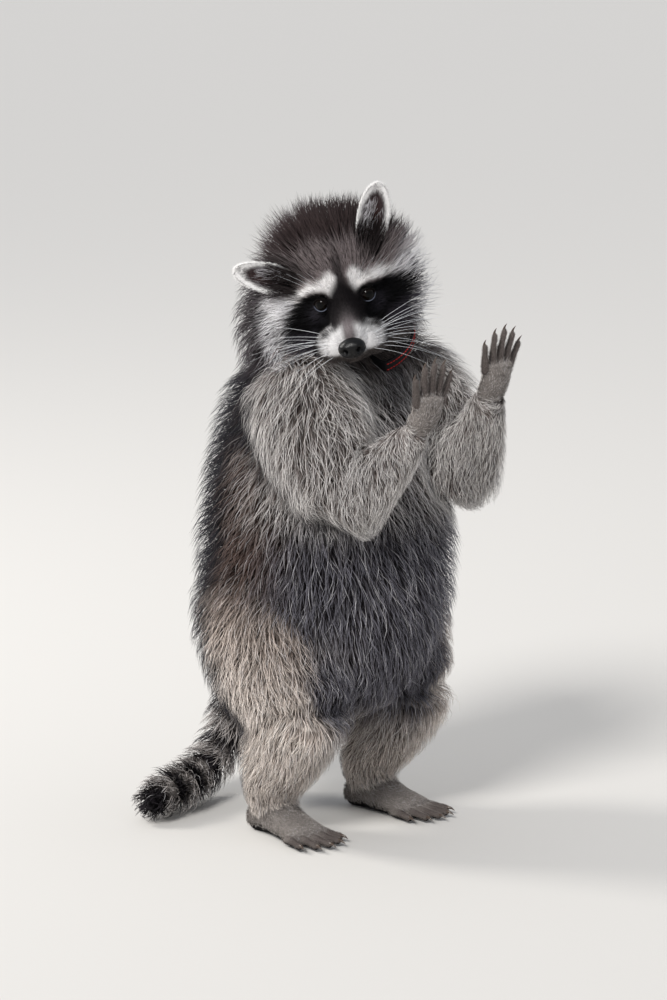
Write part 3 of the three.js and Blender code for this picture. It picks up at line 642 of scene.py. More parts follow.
def earPoint(sign, t, s, layer):
    # base + rise*length*t + across*width(t)*s, cupped by (1 - s^2); layer 1 is the hollow front
    lean = ear["lean"][sign]
    base = np.array(ear["base"][sign], float)
    rise = np.array([sign * np.sin(lean), 0, np.cos(lean)])
    facing = np.array([sign * 0.3, -1, 0.05])
    facing = unit(facing - rise * (facing @ rise))
    across = np.cross(rise, facing)
    widest = ear["widest"]
    swell = np.where(t < widest, 0.78 + 0.22 * np.sin(np.minimum(t / widest, 1) * np.pi / 2),
                     np.sqrt(np.maximum(0.0, 1 - ((t - widest) / 0.56) ** 2)))
    cup = (1 - s * s) * 9 * (1 - 0.75 * t) + 3 * t
    thick = ear["thickness"] * (1 - 0.75 * np.maximum(s * s, t ** 6) * 0.9)
    point = (base + rise * (ear["length"][sign] * t)[..., None]
             + across * (ear["halfWidth"] * swell * s)[..., None]
             + facing * (layer * thick + 0.4 - cup)[..., None])
    return point, facing, rise, across


def earShell(sign):
    # front and back sheets of the ear on one grid, with walls round their edges
    rows, columns = ear["rows"], ear["columns"]
    sheets = [earPoint(sign, *earGrid(), layer)[0] for layer in (0.0, 1.0)]
    points = np.vstack([sheet.reshape(-1, 3) for sheet in sheets])
    stride, sheet = columns + 1, (rows + 1) * (columns + 1)
    a = (np.arange(rows)[:, None] * stride + np.arange(columns)).ravel()
    back = np.stack([a, a + 1, a + 1 + stride, a + stride], -1)
    front = np.stack([a, a + stride, a + 1 + stride, a + 1], -1) + sheet
    left, right = np.arange(rows) * stride, np.arange(rows) * stride + columns
    top, low = rows * stride + np.arange(columns), np.arange(columns)
    walls = [np.stack([left, left + stride, left + stride + sheet, left + sheet], -1),
             np.stack([right, right + sheet, right + stride + sheet, right + stride], -1),
             np.stack([top, top + 1, top + 1 + sheet, top + sheet], -1),
             np.stack([low, low + sheet, low + 1 + sheet, low + 1], -1)]
    quads = np.vstack([back, front, *walls])[:, ::-1]
    return fromHead(points), quads


lidParts = [lidRing(sign) for sign in (-1, 1)]
earParts = [earShell(sign) for sign in (-1, 1)]
print("skin pieces made")


# markings: what colour the coat is at any point, its lower part and its tips

def inPolygon(points, corners, blur):
    # 1 inside a flat loop, 0 outside, soft over blur: the distance to the nearest edge, signed
    # by how many edges a level ray crosses
    corners = np.asarray(corners, float)
    start, end = corners, np.roll(corners, -1, axis=0)
    edge = end - start
    offset = points[:, None] - start[None]
    along = np.clip(dot(offset, edge) / dot(edge, edge), 0, 1)
    distance = np.linalg.norm(offset - edge * along[..., None], axis=-1).min(1)
    above = points[:, None, 1] < end[None, :, 1]
    reach = edge[:, 0] * offset[..., 1] / np.where(edge[:, 1] == 0, 1e-9, edge[:, 1])
    crosses = (above != (points[:, None, 1] < start[None, :, 1])) & (reach > offset[..., 0])
    inside = crosses.sum(1) % 2 == 1
    return smooth(-blur, blur, np.where(inside, distance, -distance))


# loops seen from the front of the face: distance from its middle and height, mm
faceMarks = {
    "mask": [(10, -2), (12, 6), (20, 12), (28, 11.5), (36, 8), (46, 3), (55, -2), (61, -10),
             (65, -20), (65, -31), (61, -40), (54, -46), (44, -50), (34, -52), (29, -46),
             (28, -36), (20, -28), (8, -20), (6, -10)],
    "brow": [(4, 21), (8, 25), (13, 24), (18, 20), (23, 18), (29, 19.5), (35, 17.5), (41, 14.5),
             (47, 11), (51, 8), (47, 4), (40, 7.5), (33, 11.5), (26, 13.5), (19, 13), (14, 8.5),
             (10, 6), (7.5, 9), (5, 14)],
    "cheek": [(44, 9), (52, 11), (62, 12), (72, 9), (79, 3), (84, -6), (85, -18), (84, -32),
              (82, -46), (76, -64), (62, -74), (50, -68), (54, -52), (66, -34), (67, -22),
              (63, -11), (56, -2), (47, 2.5)],
    "farCheek": [(50, 9), (56, 16), (64, 20), (74, 13), (79, 0), (78, -10), (70, -12), (62, -7),
                 (56, -1)],
}
# each marking's colour low on the hair and at its tip, 0 to 255 as the eye reads it
furTones = {
    "mask": ((3, 3, 4), (10, 9, 13)),
    "white": ((196, 192, 190), (246, 244, 244)),
    "cheek": ((176, 173, 176), (244, 243, 246)),
    "muzzle": ((214, 212, 212), (234, 233, 234)),
    "lowMask": ((46, 42, 48), (98, 94, 105)),
    # painted shade: the chin under the lip, dark grey for the shade beneath the muzzle, not its own pale
    # colour
    "chinShade": ((52, 47, 46), (98, 92, 90)),
    "earFoot": ((12, 9, 10), (28, 22, 22)),
    "bridge": ((106, 98, 98), (152, 144, 146)),
    "stripe": ((12, 10, 11), (24, 20, 23)),
    "forehead": ((56, 48, 48), (136, 126, 126)),
    "crown": ((26, 21, 21), (60, 50, 50)),
    "nape": ((34, 29, 31), (74, 68, 72)),
    "back": ((18, 17, 21), (34, 33, 42)),
    "flank": ((92, 74, 67), (112, 94, 87)),
    "belly": ((64, 60, 64), (120, 119, 128)),
    "throat": ((56, 50, 48), (104, 97, 95)),
    "chest": ((108, 97, 92), (238, 234, 231)),
    "thigh": ((158, 143, 133), (214, 200, 190)),
    "lowThigh": ((204, 191, 182), (251, 242, 234)),
    "shank": ((164, 153, 145), (228, 218, 210)),
    "paw": ((128, 121, 117), (180, 173, 168)),
    "digit": ((84, 76, 74), (132, 124, 120)),
    "pale": ((146, 139, 136), (196, 190, 187)),
    "dark": ((28, 25, 28), (44, 40, 45)),
}


def paint(layers, name, share):
    # lay one marking over the two tones of the hair
    return tuple(mix(layer, tone(*colour), share) for layer, colour in zip(layers, furTones[name]))


def bodyTones(layers, points, outward, kind, station, wander):
    # dark back, brown flank, grey belly, silvery chest, tan legs, ringed tail
    world = (points - frameShift) * 1000
    back = outward[:, 1] + 0.16 * wander
    height = world[:, 2] + 16 * wander
    isLeg, isTail = np.isin(kind, ("thigh", "shank", "torso")), kind == "tail"
    layers = paint(layers, "flank", np.ones(len(points)))
    layers = paint(layers, "belly", smooth(0.1, -0.6, back))
    chest = smooth(258, 312, height) * smooth(448, 414, height)
    layers = paint(layers, "chest", smooth(0.25, -0.35, back) * chest)
    layers = paint(layers, "throat", smooth(0.0, -0.5, back) * smooth(388, 424, height))
    layers = paint(layers, "back", smooth(-0.02, 0.38, back))
    layers = paint(layers, "back", smooth(340, 390, height) * smooth(-0.2, 0.35, back) * 0.8)
    # the tan of the thigh lies on its outer side, and lower down on its front too
    lateral = outward[:, 0] * np.sign(world[:, 0]) + 0.2 * wander
    edgeFrom = 0.34 - 0.80 * smooth(140, 84, height)
    tan = smooth(0.55, 0.12, back) * smooth(edgeFrom, edgeFrom + 0.5, lateral)
    limbs = [
        ("upperArm", "chest", smooth(0.8, 0.1, back)), ("forearm", "chest", 1.0),
        ("hand", "paw", 1.0), ("finger", "digit", 1.0), ("foot", "paw", 1.0), ("toe", "paw", 1.0),
        ("toe", "digit", smooth(0.0, 0.6, station)),
        ("thigh", "thigh", smooth(250, 176, height) * tan), ("shank", "shank", smooth(0.9, 0.4, back))]
    for name, marking, share in limbs:
        layers = paint(layers, marking, share * (kind == name))
    low = smooth(200, 128, height) * smooth(20, 80, height)
    layers = paint(layers, "lowThigh", isLeg * low * tan * 0.9)
    inner = smooth(-0.4, 0.4, outward[:, 0] * -np.sign(world[:, 0]))
    layers = paint(layers, "belly", isLeg * inner * smooth(50, 125, height) * 0.9)
    # the tail's dark rings, and its dark end
    ring = (station * 7.2 + 0.06 * wander) % 1
    dark = np.maximum(smooth(0.40, 0.54, ring) * smooth(1.0, 0.88, ring), smooth(0.87, 0.91, station))
    layers = paint(layers, "pale", isTail * 1.0)
    return paint(layers, "dark", isTail * dark)


def earShade(q):
    # 1 in the dark fur round the foot of each ear
    shade = np.zeros(len(q))
    for sign in (-1, 1):
        base, lean = np.array(ear["base"][sign], float), ear["lean"][sign]
        rise = np.array([sign * np.sin(lean), 0, np.cos(lean)])
        along = np.clip((q - base) @ rise, 0, 30)[:, None]
        reach = ear["dark"][sign]
        distance = np.linalg.norm(q - base - rise * along, axis=1)
        shade = np.maximum(shade, smooth(reach, reach - 12, distance))
    return shade


def headTones(layers, q, share, wander):
    # crown, forehead, ear feet, cheeks, brows and mask, by place in the head's frame
    a, y, z = np.abs(q[:, 0]), q[:, 1], q[:, 2]
    left = q[:, 0] > 0
    # the marks stand a little higher on the left than on the right, the brow further out there
    # and the mask further back
    level = z - 0.3 * np.sign(q[:, 0]) * np.maximum(a - 30, 0)
    flat = np.stack([a + 1.2 * wander, level + 1.6 * wander], -1)
    browPlace = flat - np.stack([3 * left * smooth(30, 14, a), 0 * a], -1)
    maskPlace = flat * np.stack([1 - 0.1 * left * smooth(2, -10, level), 1 + 0 * a], -1)
    front, side = share * smooth(66, 48, y), share * smooth(72, 58, y)
    throat = smooth(-40, -56, z) * smooth(66, 36, y) * smooth(62, 44, a)
    crown = smooth(40, 60, z + 0.55 * (y - 24) + 5 * wander) * smooth(76, 62, y - 0.3 * z)
    forehead = smooth(71, 53, z + 0.5 * y + 6 * wander) * smooth(-14, 6, level)
    earFoot = earShade(q) * smooth(2, 16, level + 3 * wander) * 0.95
    stripe = smooth(7, 2.5, a + 1.5 * wander) * smooth(50, 22, z) * 0.8
    mask = inPolygon(maskPlace, faceMarks["mask"], 2.0)
    paler = (smooth(-20, -38, level) * smooth(28, 36, a) * 0.6
             + 0.35 * np.exp(-((a - 30) / 7) ** 2 - ((level + 12) / 8) ** 2))
    for name, place in (
            ("nape", share), ("throat", share * throat), ("crown", share * crown),
            ("forehead", front * forehead), ("earFoot", share * earFoot), ("stripe", front * stripe),
            ("cheek", side * (1 - 0.3 * left) * inPolygon(maskPlace, faceMarks["cheek"], 4.0)),
            ("cheek", side * left * inPolygon(flat, faceMarks["farCheek"], 5) * 0.35),
            ("white", front * inPolygon(browPlace, faceMarks["brow"], 2.6)),
            ("mask", front * mask), ("lowMask", share * mask * paler)):
        layers = paint(layers, name, place)
    return layers


def muzzleTones(layers, q, share, wander):
    # dark bridge with a grey-tan end, white sides, and painted shade on the chin under the lip
    a, y, z = np.abs(q[:, 0]), q[:, 1], q[:, 2]
    edge = -5 - 0.5 * a - 0.15 * (y + 25) * (y > -25)
    pad = smooth(-1.8, 1.8, edge - z + 1.2 * wander) * smooth(-7, -16, y)
    pad = pad * smooth(2.5, 9, a + 0.8 * wander) * smooth(-33, -28.5, z + wander) * smooth(33, 27, a)
    bridge = smooth(6, -4, y + a * 0.3) * (z > -34)
    end = np.exp(-(a / 8.5) ** 2 - ((y + 40) / 13.5) ** 2)
    # painted shade: the pale chin under the lip is painted dark grey for the shade beneath the muzzle
    chinShade = smooth(-27, -31, z) * smooth(10, -6, y) * smooth(34, 26, a)
    for name, place in (("stripe", bridge), ("bridge", bridge * end), ("chinShade", chinShade), ("muzzle", pad)):
        layers = paint(layers, name, share * place)
    return layers


def coatTones(points, outward, kind, station):
    # the low and the tip tone of the hair at any points; edges wander with a soft noise
    wander = softNoise(points, 0.008, 1) * 0.6 + softNoise(points, 0.0028, 0) * 0.4
    blank = np.zeros((len(points), 3))
    layers = bodyTones((blank, blank), points, outward, kind, station, wander)
    q = toHead(points)
    share = np.where(kind == "head", 1.0, (kind == "neck") * smooth(-86, -72, q[:, 2] + 3 * wander))
    layers = headTones(layers, q, share, wander)
    return muzzleTones(layers, q, share, wander)


# the coat: closed three-sided tufts that follow the field round the body

# a tuft's length is rise * coat depth + extra and its width is width + widen * length, in mm;
# cover: how many tufts deep the skin is hidden; stand: how much of the coat's depth the tips
# reach; sag: how the hair falls; wild: how far it strays from the lie
coatLooks = {
    "head": dict(rise=1.15, extra=3.2, width=0.36, widen=0.008, cover=4.6, stand=1.0, sag=0.2, wild=0.22),
    "neck": dict(rise=1.15, extra=10, width=0.86, widen=0, cover=3.7, stand=1.08, sag=0.3, wild=0.3),
    "torso": dict(rise=1.5, extra=2, width=0.96, widen=0, cover=3.7, stand=1.14, sag=0.25, wild=0.3),
    "tail": dict(rise=1.8, extra=0, width=0.95, widen=0, cover=3.6, stand=1.05, sag=0.0, wild=0.3),
    "thigh": dict(rise=1.65, extra=0, width=0.88, widen=0, cover=3.7, stand=1.14, sag=0.35, wild=0.32),
    "shank": dict(rise=1.6, extra=3, width=0.78, widen=0, cover=3.7, stand=1.1, sag=0.3, wild=0.32),
    "foot": dict(rise=0.9, extra=2.6, width=0.42, widen=0, cover=1.9, stand=0.8, sag=0.1, wild=0.25),
    "toe": dict(rise=0.6, extra=1.8, width=0.34, widen=0, cover=1.2, stand=0.8, sag=0.1, wild=0.25),
    "upperArm": dict(rise=1.7, extra=8, width=0.74, widen=0, cover=4.1, stand=1.08, sag=0.9, wild=0.55),
    "forearm": dict(rise=1.8, extra=8, width=0.72, widen=0, cover=4.0, stand=1.05, sag=1.0, wild=0.55),
    "hand": dict(rise=0.9, extra=2.6, width=0.42, widen=0, cover=1.8, stand=0.8, sag=0.2, wild=0.25),
    "finger": dict(rise=0.5, extra=1.7, width=0.32, widen=0, cover=1.0, stand=0.8, sag=0.1, wild=0.25),
}
shortKinds = ("head", "foot", "toe", "hand", "finger", "ear")      # tufts of two rings, not three
tuftTotal = 108000


def lookOf(kind, key):
    # one value of the looks for every point, by its kind
    table = np.array([look[key] for look in coatLooks.values()], float)
    order = {name: i for i, name in enumerate(coatLooks)}
    return table[np.array([order[name] for name in kind])]


def sizesOf(read):
    # kind, and the length and width in mm of a tuft, at every point
    kind = kinds[read["form"]]
    length = lookOf(kind, "rise") * read["depth"] * 1000 + lookOf(kind, "extra")
    width = lookOf(kind, "width") + lookOf(kind, "widen") * length
    return kind, length, width


def triangles(quads):
    return np.vstack([quads[:, [0, 1, 2]], quads[:, [0, 2, 3]]])


def bareSkin(points, outward):
    # 1 where no tuft grows: eyes, nose pad, lips, soles and palms
    q = toHead(points)
    bare = np.zeros(len(points), bool)
    for sign in (-1, 1):
        spread, reach, _ = lidSpread(q, sign)
        bare |= (reach < 14) & (spread < 1.28)
    bare |= ((q - [0, -56, -22]) ** 2 / np.square([11.5, 8.5, 9.0])).sum(1) < 1
    bare |= (nearest(q, lipLine()) < 1.3) & (q[:, 1] < -5)
    world = points - frameShift
    bare |= (world[:, 2] < 0.012) & (outward[:, 2] < -0.35)
    bare |= world[:, 2] < 0.003
    return bare


def crownShare(points):
    # 1 on top of the head between and behind the ears, where the coat stands up
    q = toHead(points)
    return smooth(8, 30, q[:, 2] + 0.5 * (q[:, 1] - 24)) * smooth(8, 26, q[:, 1])


def spreadRoots(rng):
    # roots spread evenly by area times the density that a tuft's own size asks for
    points = np.vstack([bodySkin[0], fineSkin[0]])
    faces = np.vstack([triangles(bodySkin[1]), triangles(fineSkin[1]) + len(bodySkin[0])])
    a, b, c = points[faces[:, 0]], points[faces[:, 1]], points[faces[:, 2]]
    cross = np.cross(b - a, c - a)
    area = np.linalg.norm(cross, axis=1) / 2
    middle, outward = (a + b + c) / 3, unit(cross)
    read = readBody(middle)
    kind, length, width = sizesOf(read)
    density = lookOf(kind, "cover") / (0.5 * length * width) * 1e6
    density *= ~bareSkin(middle, outward) & (read["distance"] > -0.0035)
    density *= 1 + 0.7 * crownShare(middle) * (kind == "head")
    weight = np.cumsum(area * density)
    print("tufts asked for:", int(weight[-1]))
    share = (np.arange(tuftTotal) + rng.random(tuftTotal)) / tuftTotal
    pick = np.searchsorted(weight / weight[-1], share)
    r, s = rng.random((2, tuftTotal, 1))
    r = np.sqrt(r)
    roots = a[pick] * (1 - r) + b[pick] * r * (1 - s) + c[pick] * r * s
    return roots, outward[pick]


def turned(lie, outward, angle):
    return unit(lie * np.cos(angle)[:, None] + np.cross(outward, lie) * np.sin(angle)[:, None])


# over: the outer layer of hair, under: the shorter one beneath; least value and spread of each
growth = {
    "overShare": 0.55, "overLength": (0.86, 0.32), "underLength": (0.55, 0.25),
    "overStand": (0.86, 0.24), "underStand": (0.56, 0.25), "clump": 0.16, "swing": 2.4,
    "steps": (0.34, 0.70, 1.0), "rootDepth": 0.0012, "settle": 0.3, "lift": (-0.012, 0.018),
}


def drawn(key, share):
    least, spread = growth[key]
    return least + spread * share


def tuftHabits(roots, read, rng):
    # of every tuft: kind, width and length in m, the share of the coat's depth that it reaches,
    # its swing away from the lie, and one number between 0 and 1 that is its own
    kind, length, width = sizesOf(read)
    vary = rng.random((4, len(roots)))
    crown = crownShare(roots) * (kind == "head")
    over = vary[0] < growth["overShare"] + 0.2 * crown
    ahead = readBody(roots + read["lie"] * (length * 0.0005)[:, None])["depth"]
    length = length + lookOf(kind, "rise") * np.maximum(ahead - read["depth"], 0) * 1000
    length = length * np.where(over, drawn("overLength", vary[1]), drawn("underLength", vary[1])) / 1000
    clump = softNoise(roots, 0.016, 0) * 0.5 + softNoise(roots, 0.006, 1) * 0.5
    stand = np.where(over, drawn("overStand", vary[2]), drawn("underStand", vary[2]))
    stand = lookOf(kind, "stand") * stand * (1 + growth["clump"] * clump)
    stand = stand * (1 + crown * (0.2 + 0.22 * smooth(5, -25, toHead(roots)[:, 0])))
    swing = softNoise(roots, 0.011, 2) * 0.55 + softNoise(roots, 0.0045, 0) * 0.35
    swing = (swing + 0.9 * (vary[3] - 0.5)) * lookOf(kind, "wild") * growth["swing"]
    return kind, width / 1000, length, stand, swing, vary[1]


def growTufts(roots, facing, rng):
    # step by step along the lie: each point is pushed to its height over the skin, which climbs
    # by 1 - (1 - s)^1.5 towards the coat's depth
    read = readBody(roots)
    kind, width, length, stand, swing, vary = tuftHabits(roots, read, rng)
    sag, base = lookOf(kind, "sag"), read["distance"]
    settle = np.where(kind == "head", growth["settle"] * smooth(0.004, 0.001, base), growth["settle"])
    spine = [roots - facing * growth["rootDepth"]]
    normals = [unit(facing + 0.3 * read["outward"])]
    before, point, lie, outward, depth = 0.0, roots, read["lie"], read["outward"], read["depth"]
    for share in growth["steps"]:
        climbed, climbs = 1 - (1 - before) ** 1.5, 1 - (1 - share) ** 1.5
        tipHeight = np.minimum(depth * stand, length * 0.9)
        rise = tipHeight * climbs - tipHeight * climbed
        least = 0.15 * length * (share - before)
        step = np.sqrt(np.maximum((length * (share - before)) ** 2 - rise ** 2, least ** 2))
        heading = turned(lie, outward, swing * (0.4 + share))
        fall = np.array([0, 0, -1.0]) - outward * -outward[:, 2:]
        heading = unit(heading + fall * (sag * share)[:, None])
        point = point + heading * step[:, None]
        now = readBody(point)
        depth = now["depth"]
        height = np.minimum(depth * stand, length * 0.9) * climbs
        lift = base * (1 - settle * share) + height - now["distance"]
        point = point + now["outward"] * np.clip(lift, *growth["lift"])[:, None]
        point[:, 2] = np.maximum(point[:, 2], 0.0008)
        lie, outward, before = now["lie"], now["outward"], share
        spine.append(point)
        normals.append(outward)
    return dict(spine=np.stack(spine, 1), normals=np.stack(normals, 1), width=width, kind=kind,
                form=read["form"], angle=read["angle"], station=read["station"],
                outward=read["outward"], vary=vary)


# per number of rings: where each ring is along the tuft, its width and thickness over the tuft's
tuftShapes = {2: ((0, 0.52), (1.0, 0.66), (0.5, 0.34)),
              3: ((0, 0.34, 0.70), (1.0, 0.86, 0.46), (0.5, 0.44, 0.25))}


def tuftMesh(tufts, rings):
    # each ring has a left, a right and a raised corner; the tip is a point
    places, wide, high = tuftShapes[rings]
    spine, normals = tufts["spine"], tufts["normals"]
    if rings == 2:
        spine, normals = (np.stack([line[:, 0], (line[:, 1] + line[:, 2]) / 2, line[:, 3]], 1)
                          for line in (spine, normals))
    along = unit(np.diff(spine, axis=1))
    along = unit(np.concatenate([along[:, :1], along[:, :-1] + along[:, 1:]], axis=1))
    across = unit(np.cross(normals[:, :rings], along))
    raised = np.cross(along, across)
    half = (tufts["width"][:, None] * np.array(wide) / 2)[..., None]
    thick = (tufts["width"][:, None] * np.array(high))[..., None]
    middle = spine[:, :rings]
    corners = np.stack([middle - across * half, middle + across * half, middle + raised * thick], 2)
    count, size = len(spine), 3 * rings + 1
    points = np.concatenate([corners.reshape(count, 3 * rings, 3), spine[:, rings:]], axis=1)
    points = points.reshape(-1, 3)
    faces, patch = [[0, 2, 1]], [[(0, 0), (2 / 3, 0), (1 / 3, 0)]]
    for ring in range(rings - 1):
        for i in range(3):
            a, b = ring * 3 + i, ring * 3 + (i + 1) % 3
            low, up = places[ring], places[ring + 1]
            faces += [[a, b, b + 3], [a, b + 3, a + 3]]
            patch += [[(i / 3, low), ((i + 1) / 3, low), ((i + 1) / 3, up)],
                      [(i / 3, low), ((i + 1) / 3, up), (i / 3, up)]]
    for i in range(3):
        faces.append([size - 4 + i, size - 4 + (i + 1) % 3, size - 1])
        patch.append([(i / 3, places[-1]), ((i + 1) / 3, places[-1]), ((i + 0.5) / 3, 1.0)])
    faces = (np.array(faces)[None] + size * np.arange(count)[:, None, None]).reshape(-1, 3)
    return points, faces, np.array(patch), np.append(np.repeat(places, 3), 1.0)


patchSize = 0.003       # side of a tuft's patch on the whole map


def coatPiece(name, tufts, chosen, rings, material):
    # one object of tufts, with the tones they take and a patch each on OFBake
    part = {key: value[chosen] for key, value in tufts.items()}
    points, faces, patch, along = tuftMesh(part, rings)
    piece = makeMesh(name, [(points, faces)], material)
    for key, values in (("underTone", part["under"]), ("tipTone", part["tips"])):
        addAttribute(piece, key, np.repeat(values, len(along), axis=0))
    addAttribute(piece, "alongHair", np.tile(along, len(chosen)))
    addAttribute(piece, "hairVary", np.repeat(part["vary"], len(along)))
    present, column = np.unique(part["form"], return_inverse=True)
    u = (column + 0.04 + 0.92 * (part["angle"] / (2 * np.pi) + 0.5)) / len(present)
    v = 0.02 + 0.96 * part["station"]
    root = np.stack([u, v], -1) - patchSize / 2
    uv = root[:, None, None] + patch[None] * patchSize
    piece.data.uv_layers.new(name="OFBake").data.foreach_set("uv", uv.astype(np.float32).ravel())
    return piece


# materials

def shadeGroup(name, inputs, outputs):
    group = bpy.data.node_groups.new(name, "ShaderNodeTree")
    for label, kind, value in inputs:
        socket = group.interface.new_socket(label, in_out="INPUT", socket_type=kind)
        socket.default_value = value
    for label, kind in outputs:
        group.interface.new_socket(label, in_out="OUTPUT", socket_type=kind)
    return group, group.nodes.new("NodeGroupInput"), group.nodes.new("NodeGroupOutput")


def addNode(tree, kind, values=(), **settings):
    made = tree.nodes.new(kind)
    for key, value in settings.items():
        setattr(made, key, value)
    for key, value in dict(values).items():
        made.inputs[key].default_value = value
    return made


def feed(tree, node, values):
    # by socket number: a link where the value is a socket, else the socket's own value
    for index, value in values:
        if hasattr(value, "is_linked"):
            tree.links.new(value, node.inputs[index])
        else:
            node.inputs[index].default_value = value


def blendColour(tree, share, a, b):
    made = addNode(tree, "ShaderNodeMix", data_type="RGBA", blend_type="MIX")
    feed(tree, made, ((0, share), (6, a), (7, b)))
    return made.outputs[2]


def mathNode(tree, how, *values):
    made = addNode(tree, "ShaderNodeMath", operation=how)
    feed(tree, made, enumerate(values))
    return made.outputs[0]


def rangeNode(tree, value, low, high, start=0.0, end=1.0):
    made = addNode(tree, "ShaderNodeMapRange", interpolation_type="SMOOTHSTEP")
    feed(tree, made, enumerate((value, low, high, start, end)))
    return made.outputs[0]


def patternNode(tree, kind, **values):
    # a texture on the object's own coordinates
    place = addNode(tree, "ShaderNodeTexCoord")
    made = addNode(tree, kind, values)
    tree.links.new(place.outputs["Object"], made.inputs["Vector"])
    return made


def bumpNode(tree, shader, height, strength, distance):
    made = addNode(tree, "ShaderNodeBump", {"Strength": strength, "Distance": distance})
    tree.links.new(height, made.inputs["Height"])
    tree.links.new(made.outputs[0], shader.inputs["Normal"])


# hair colour: the under tone passes into the tip tone between Turn From and Turn To, and Root Shade
# paints the colour darker towards the root as shade deep in the coat; every tuft is a little lighter or
# darker than the next
hairShade, groupIn, groupOut = shadeGroup("hairShade", [
    ("Under Tone", "NodeSocketColor", (0.1, 0.08, 0.07, 1)),
    ("Tip Tone", "NodeSocketColor", (0.3, 0.27, 0.25, 1)),
    ("Along", "NodeSocketFloat", 0.5), ("Vary", "NodeSocketFloat", 0.5),
    ("Root Shade", "NodeSocketFloat", 0.35), ("Turn From", "NodeSocketFloat", 0.35),
    ("Turn To", "NodeSocketFloat", 0.85), ("Spread", "NodeSocketFloat", 0.35),
    ("Grain", "NodeSocketFloat", 0.15)],
    [("Color", "NodeSocketColor"), ("Height", "NodeSocketFloat")])
inputs = groupIn.outputs
turnTo = rangeNode(hairShade, inputs["Along"], inputs["Turn From"], inputs["Turn To"])
body = blendColour(hairShade, turnTo, inputs["Under Tone"], inputs["Tip Tone"])
# painted shade: darker towards each hair's root, where it lies deep in the coat
shade = rangeNode(hairShade, inputs["Along"], 0.0, 0.45, inputs["Root Shade"], 1.0)
centred = mathNode(hairShade, "SUBTRACT", inputs["Vary"], 0.5)
lighter = mathNode(hairShade, "MULTIPLY_ADD", centred, inputs["Spread"], 1.0)
strength = mathNode(hairShade, "MULTIPLY", shade, lighter)
noise = patternNode(hairShade, "ShaderNodeTexNoise", Scale=900.0, Detail=2.0)
grain = mathNode(hairShade, "SUBTRACT", noise.outputs[0], 0.5)
grain = mathNode(hairShade, "MULTIPLY_ADD", grain, inputs["Grain"], 1.0)
strength = mathNode(hairShade, "MULTIPLY", strength, grain)
combine = addNode(hairShade, "ShaderNodeVectorMath", operation="SCALE")
hairShade.links.new(body, combine.inputs[0])
hairShade.links.new(strength, combine.inputs["Scale"])
hairShade.links.new(combine.outputs[0], groupOut.inputs["Color"])
hairShade.links.new(noise.outputs[0], groupOut.inputs["Height"])


def newMaterial(name, **settings):
    # settings are the shader's own inputs, with _ for a space
    made = bpy.data.materials.new(name)
    made.use_nodes = True
    shader = made.node_tree.nodes["Principled BSDF"]
    for key, value in settings.items():
        shader.inputs[key.replace("_", " ")].default_value = value
    return made, made.node_tree, shader


def readAttribute(tree, name):
    return addNode(tree, "ShaderNodeAttribute", attribute_name=name, attribute_type="GEOMETRY")


def furMaterial(name, values, roughness=0.62, bump=None, **settings):
    made, tree, shader = newMaterial(name, Roughness=roughness, **settings)
    group = addNode(tree, "ShaderNodeGroup", node_tree=hairShade)
    for key, value in values.items():
        group.inputs[key].default_value = value
    sources = {"Under Tone": ("underTone", "Color"), "Tip Tone": ("tipTone", "Color"),
               "Along": ("alongHair", "Fac"), "Vary": ("hairVary", "Fac")}
    for label, (source, output) in sources.items():
        tree.links.new(readAttribute(tree, source).outputs[output], group.inputs[label])
    tree.links.new(group.outputs["Color"], shader.inputs["Base Color"])
    if bump:
        bumpNode(tree, shader, group.outputs["Height"], bump, 0.0006)
    return made


hairFinish = {
    "coatHair": {"Root Shade": 0.4, "Turn From": 0.25, "Turn To": 0.8, "Spread": 0.5},
    "faceHair": {"Root Shade": 0.55, "Turn From": 0.15, "Turn To": 0.7, "Spread": 0.35},
    "shortFurSkin": {"Root Shade": 0.6, "Turn From": 0.2, "Turn To": 0.9, "Spread": 0.3, "Grain": 0.6},
}
coatHair = furMaterial("coatHair", hairFinish["coatHair"], Specular_IOR_Level=0.28)
faceHair = furMaterial("faceHair", hairFinish["faceHair"], 0.75, Specular_IOR_Level=0.16)
shortFurSkin = furMaterial("shortFurSkin", hairFinish["shortFurSkin"], 0.85, 0.5, Specular_IOR_Level=0.1)


# skin object

def skinColours(points, outward):
    read = readBody(points)
    kind, length, _ = sizesOf(read)
    ahead = points + read["lie"] * (length * 0.00045)[:, None]
    under, tips = coatTones(ahead, outward, kind, read["station"])
    # painted shade: the skin takes the coat's tones made darker by the skin's shade factor, for the
    # shadow under the hair
    under, tips = under * skin["shade"], tips * skin["shade"]
    q = toHead(points)
    dark = np.zeros(len(points))
    for sign in (-1, 1):
        spread, reach, _ = lidSpread(q, sign)
        dark = np.maximum(dark, (reach < 18) * smooth(2.2, 1.8, spread))
    dark = np.maximum(dark, smooth(2.4, 1.2, nearest(q, lipLine())) * (q[:, 1] < 5))
    world = (points - frameShift) * 1000
    dark = np.maximum(dark, smooth(0.1, -0.5, outward[:, 2]) * smooth(14, 8, world[:, 2]))
    under, tips = (mix(layer, tone(16, 13, 13), dark) for layer in (under, tips))
    # a pale bluish edge under each eye: a painted reflection of the sky on the wet lower lid
    for sign in (-1, 1):
        spread, reach, offset = lidSpread(q, sign)
        low = smooth(0.5, -3.5, offset @ eyeFrame(sign)[3])
        edge = np.exp(-((spread - 1.04) / 0.05) ** 2) * low * (reach < 11) * (reach > head["eyeRadius"])
        under, tips = (mix(layer, tone(118, 124, 140), edge) for layer in (under, tips))
    return under, tips, np.clip(0.55 - 0.004 * length, 0.1, 0.5)


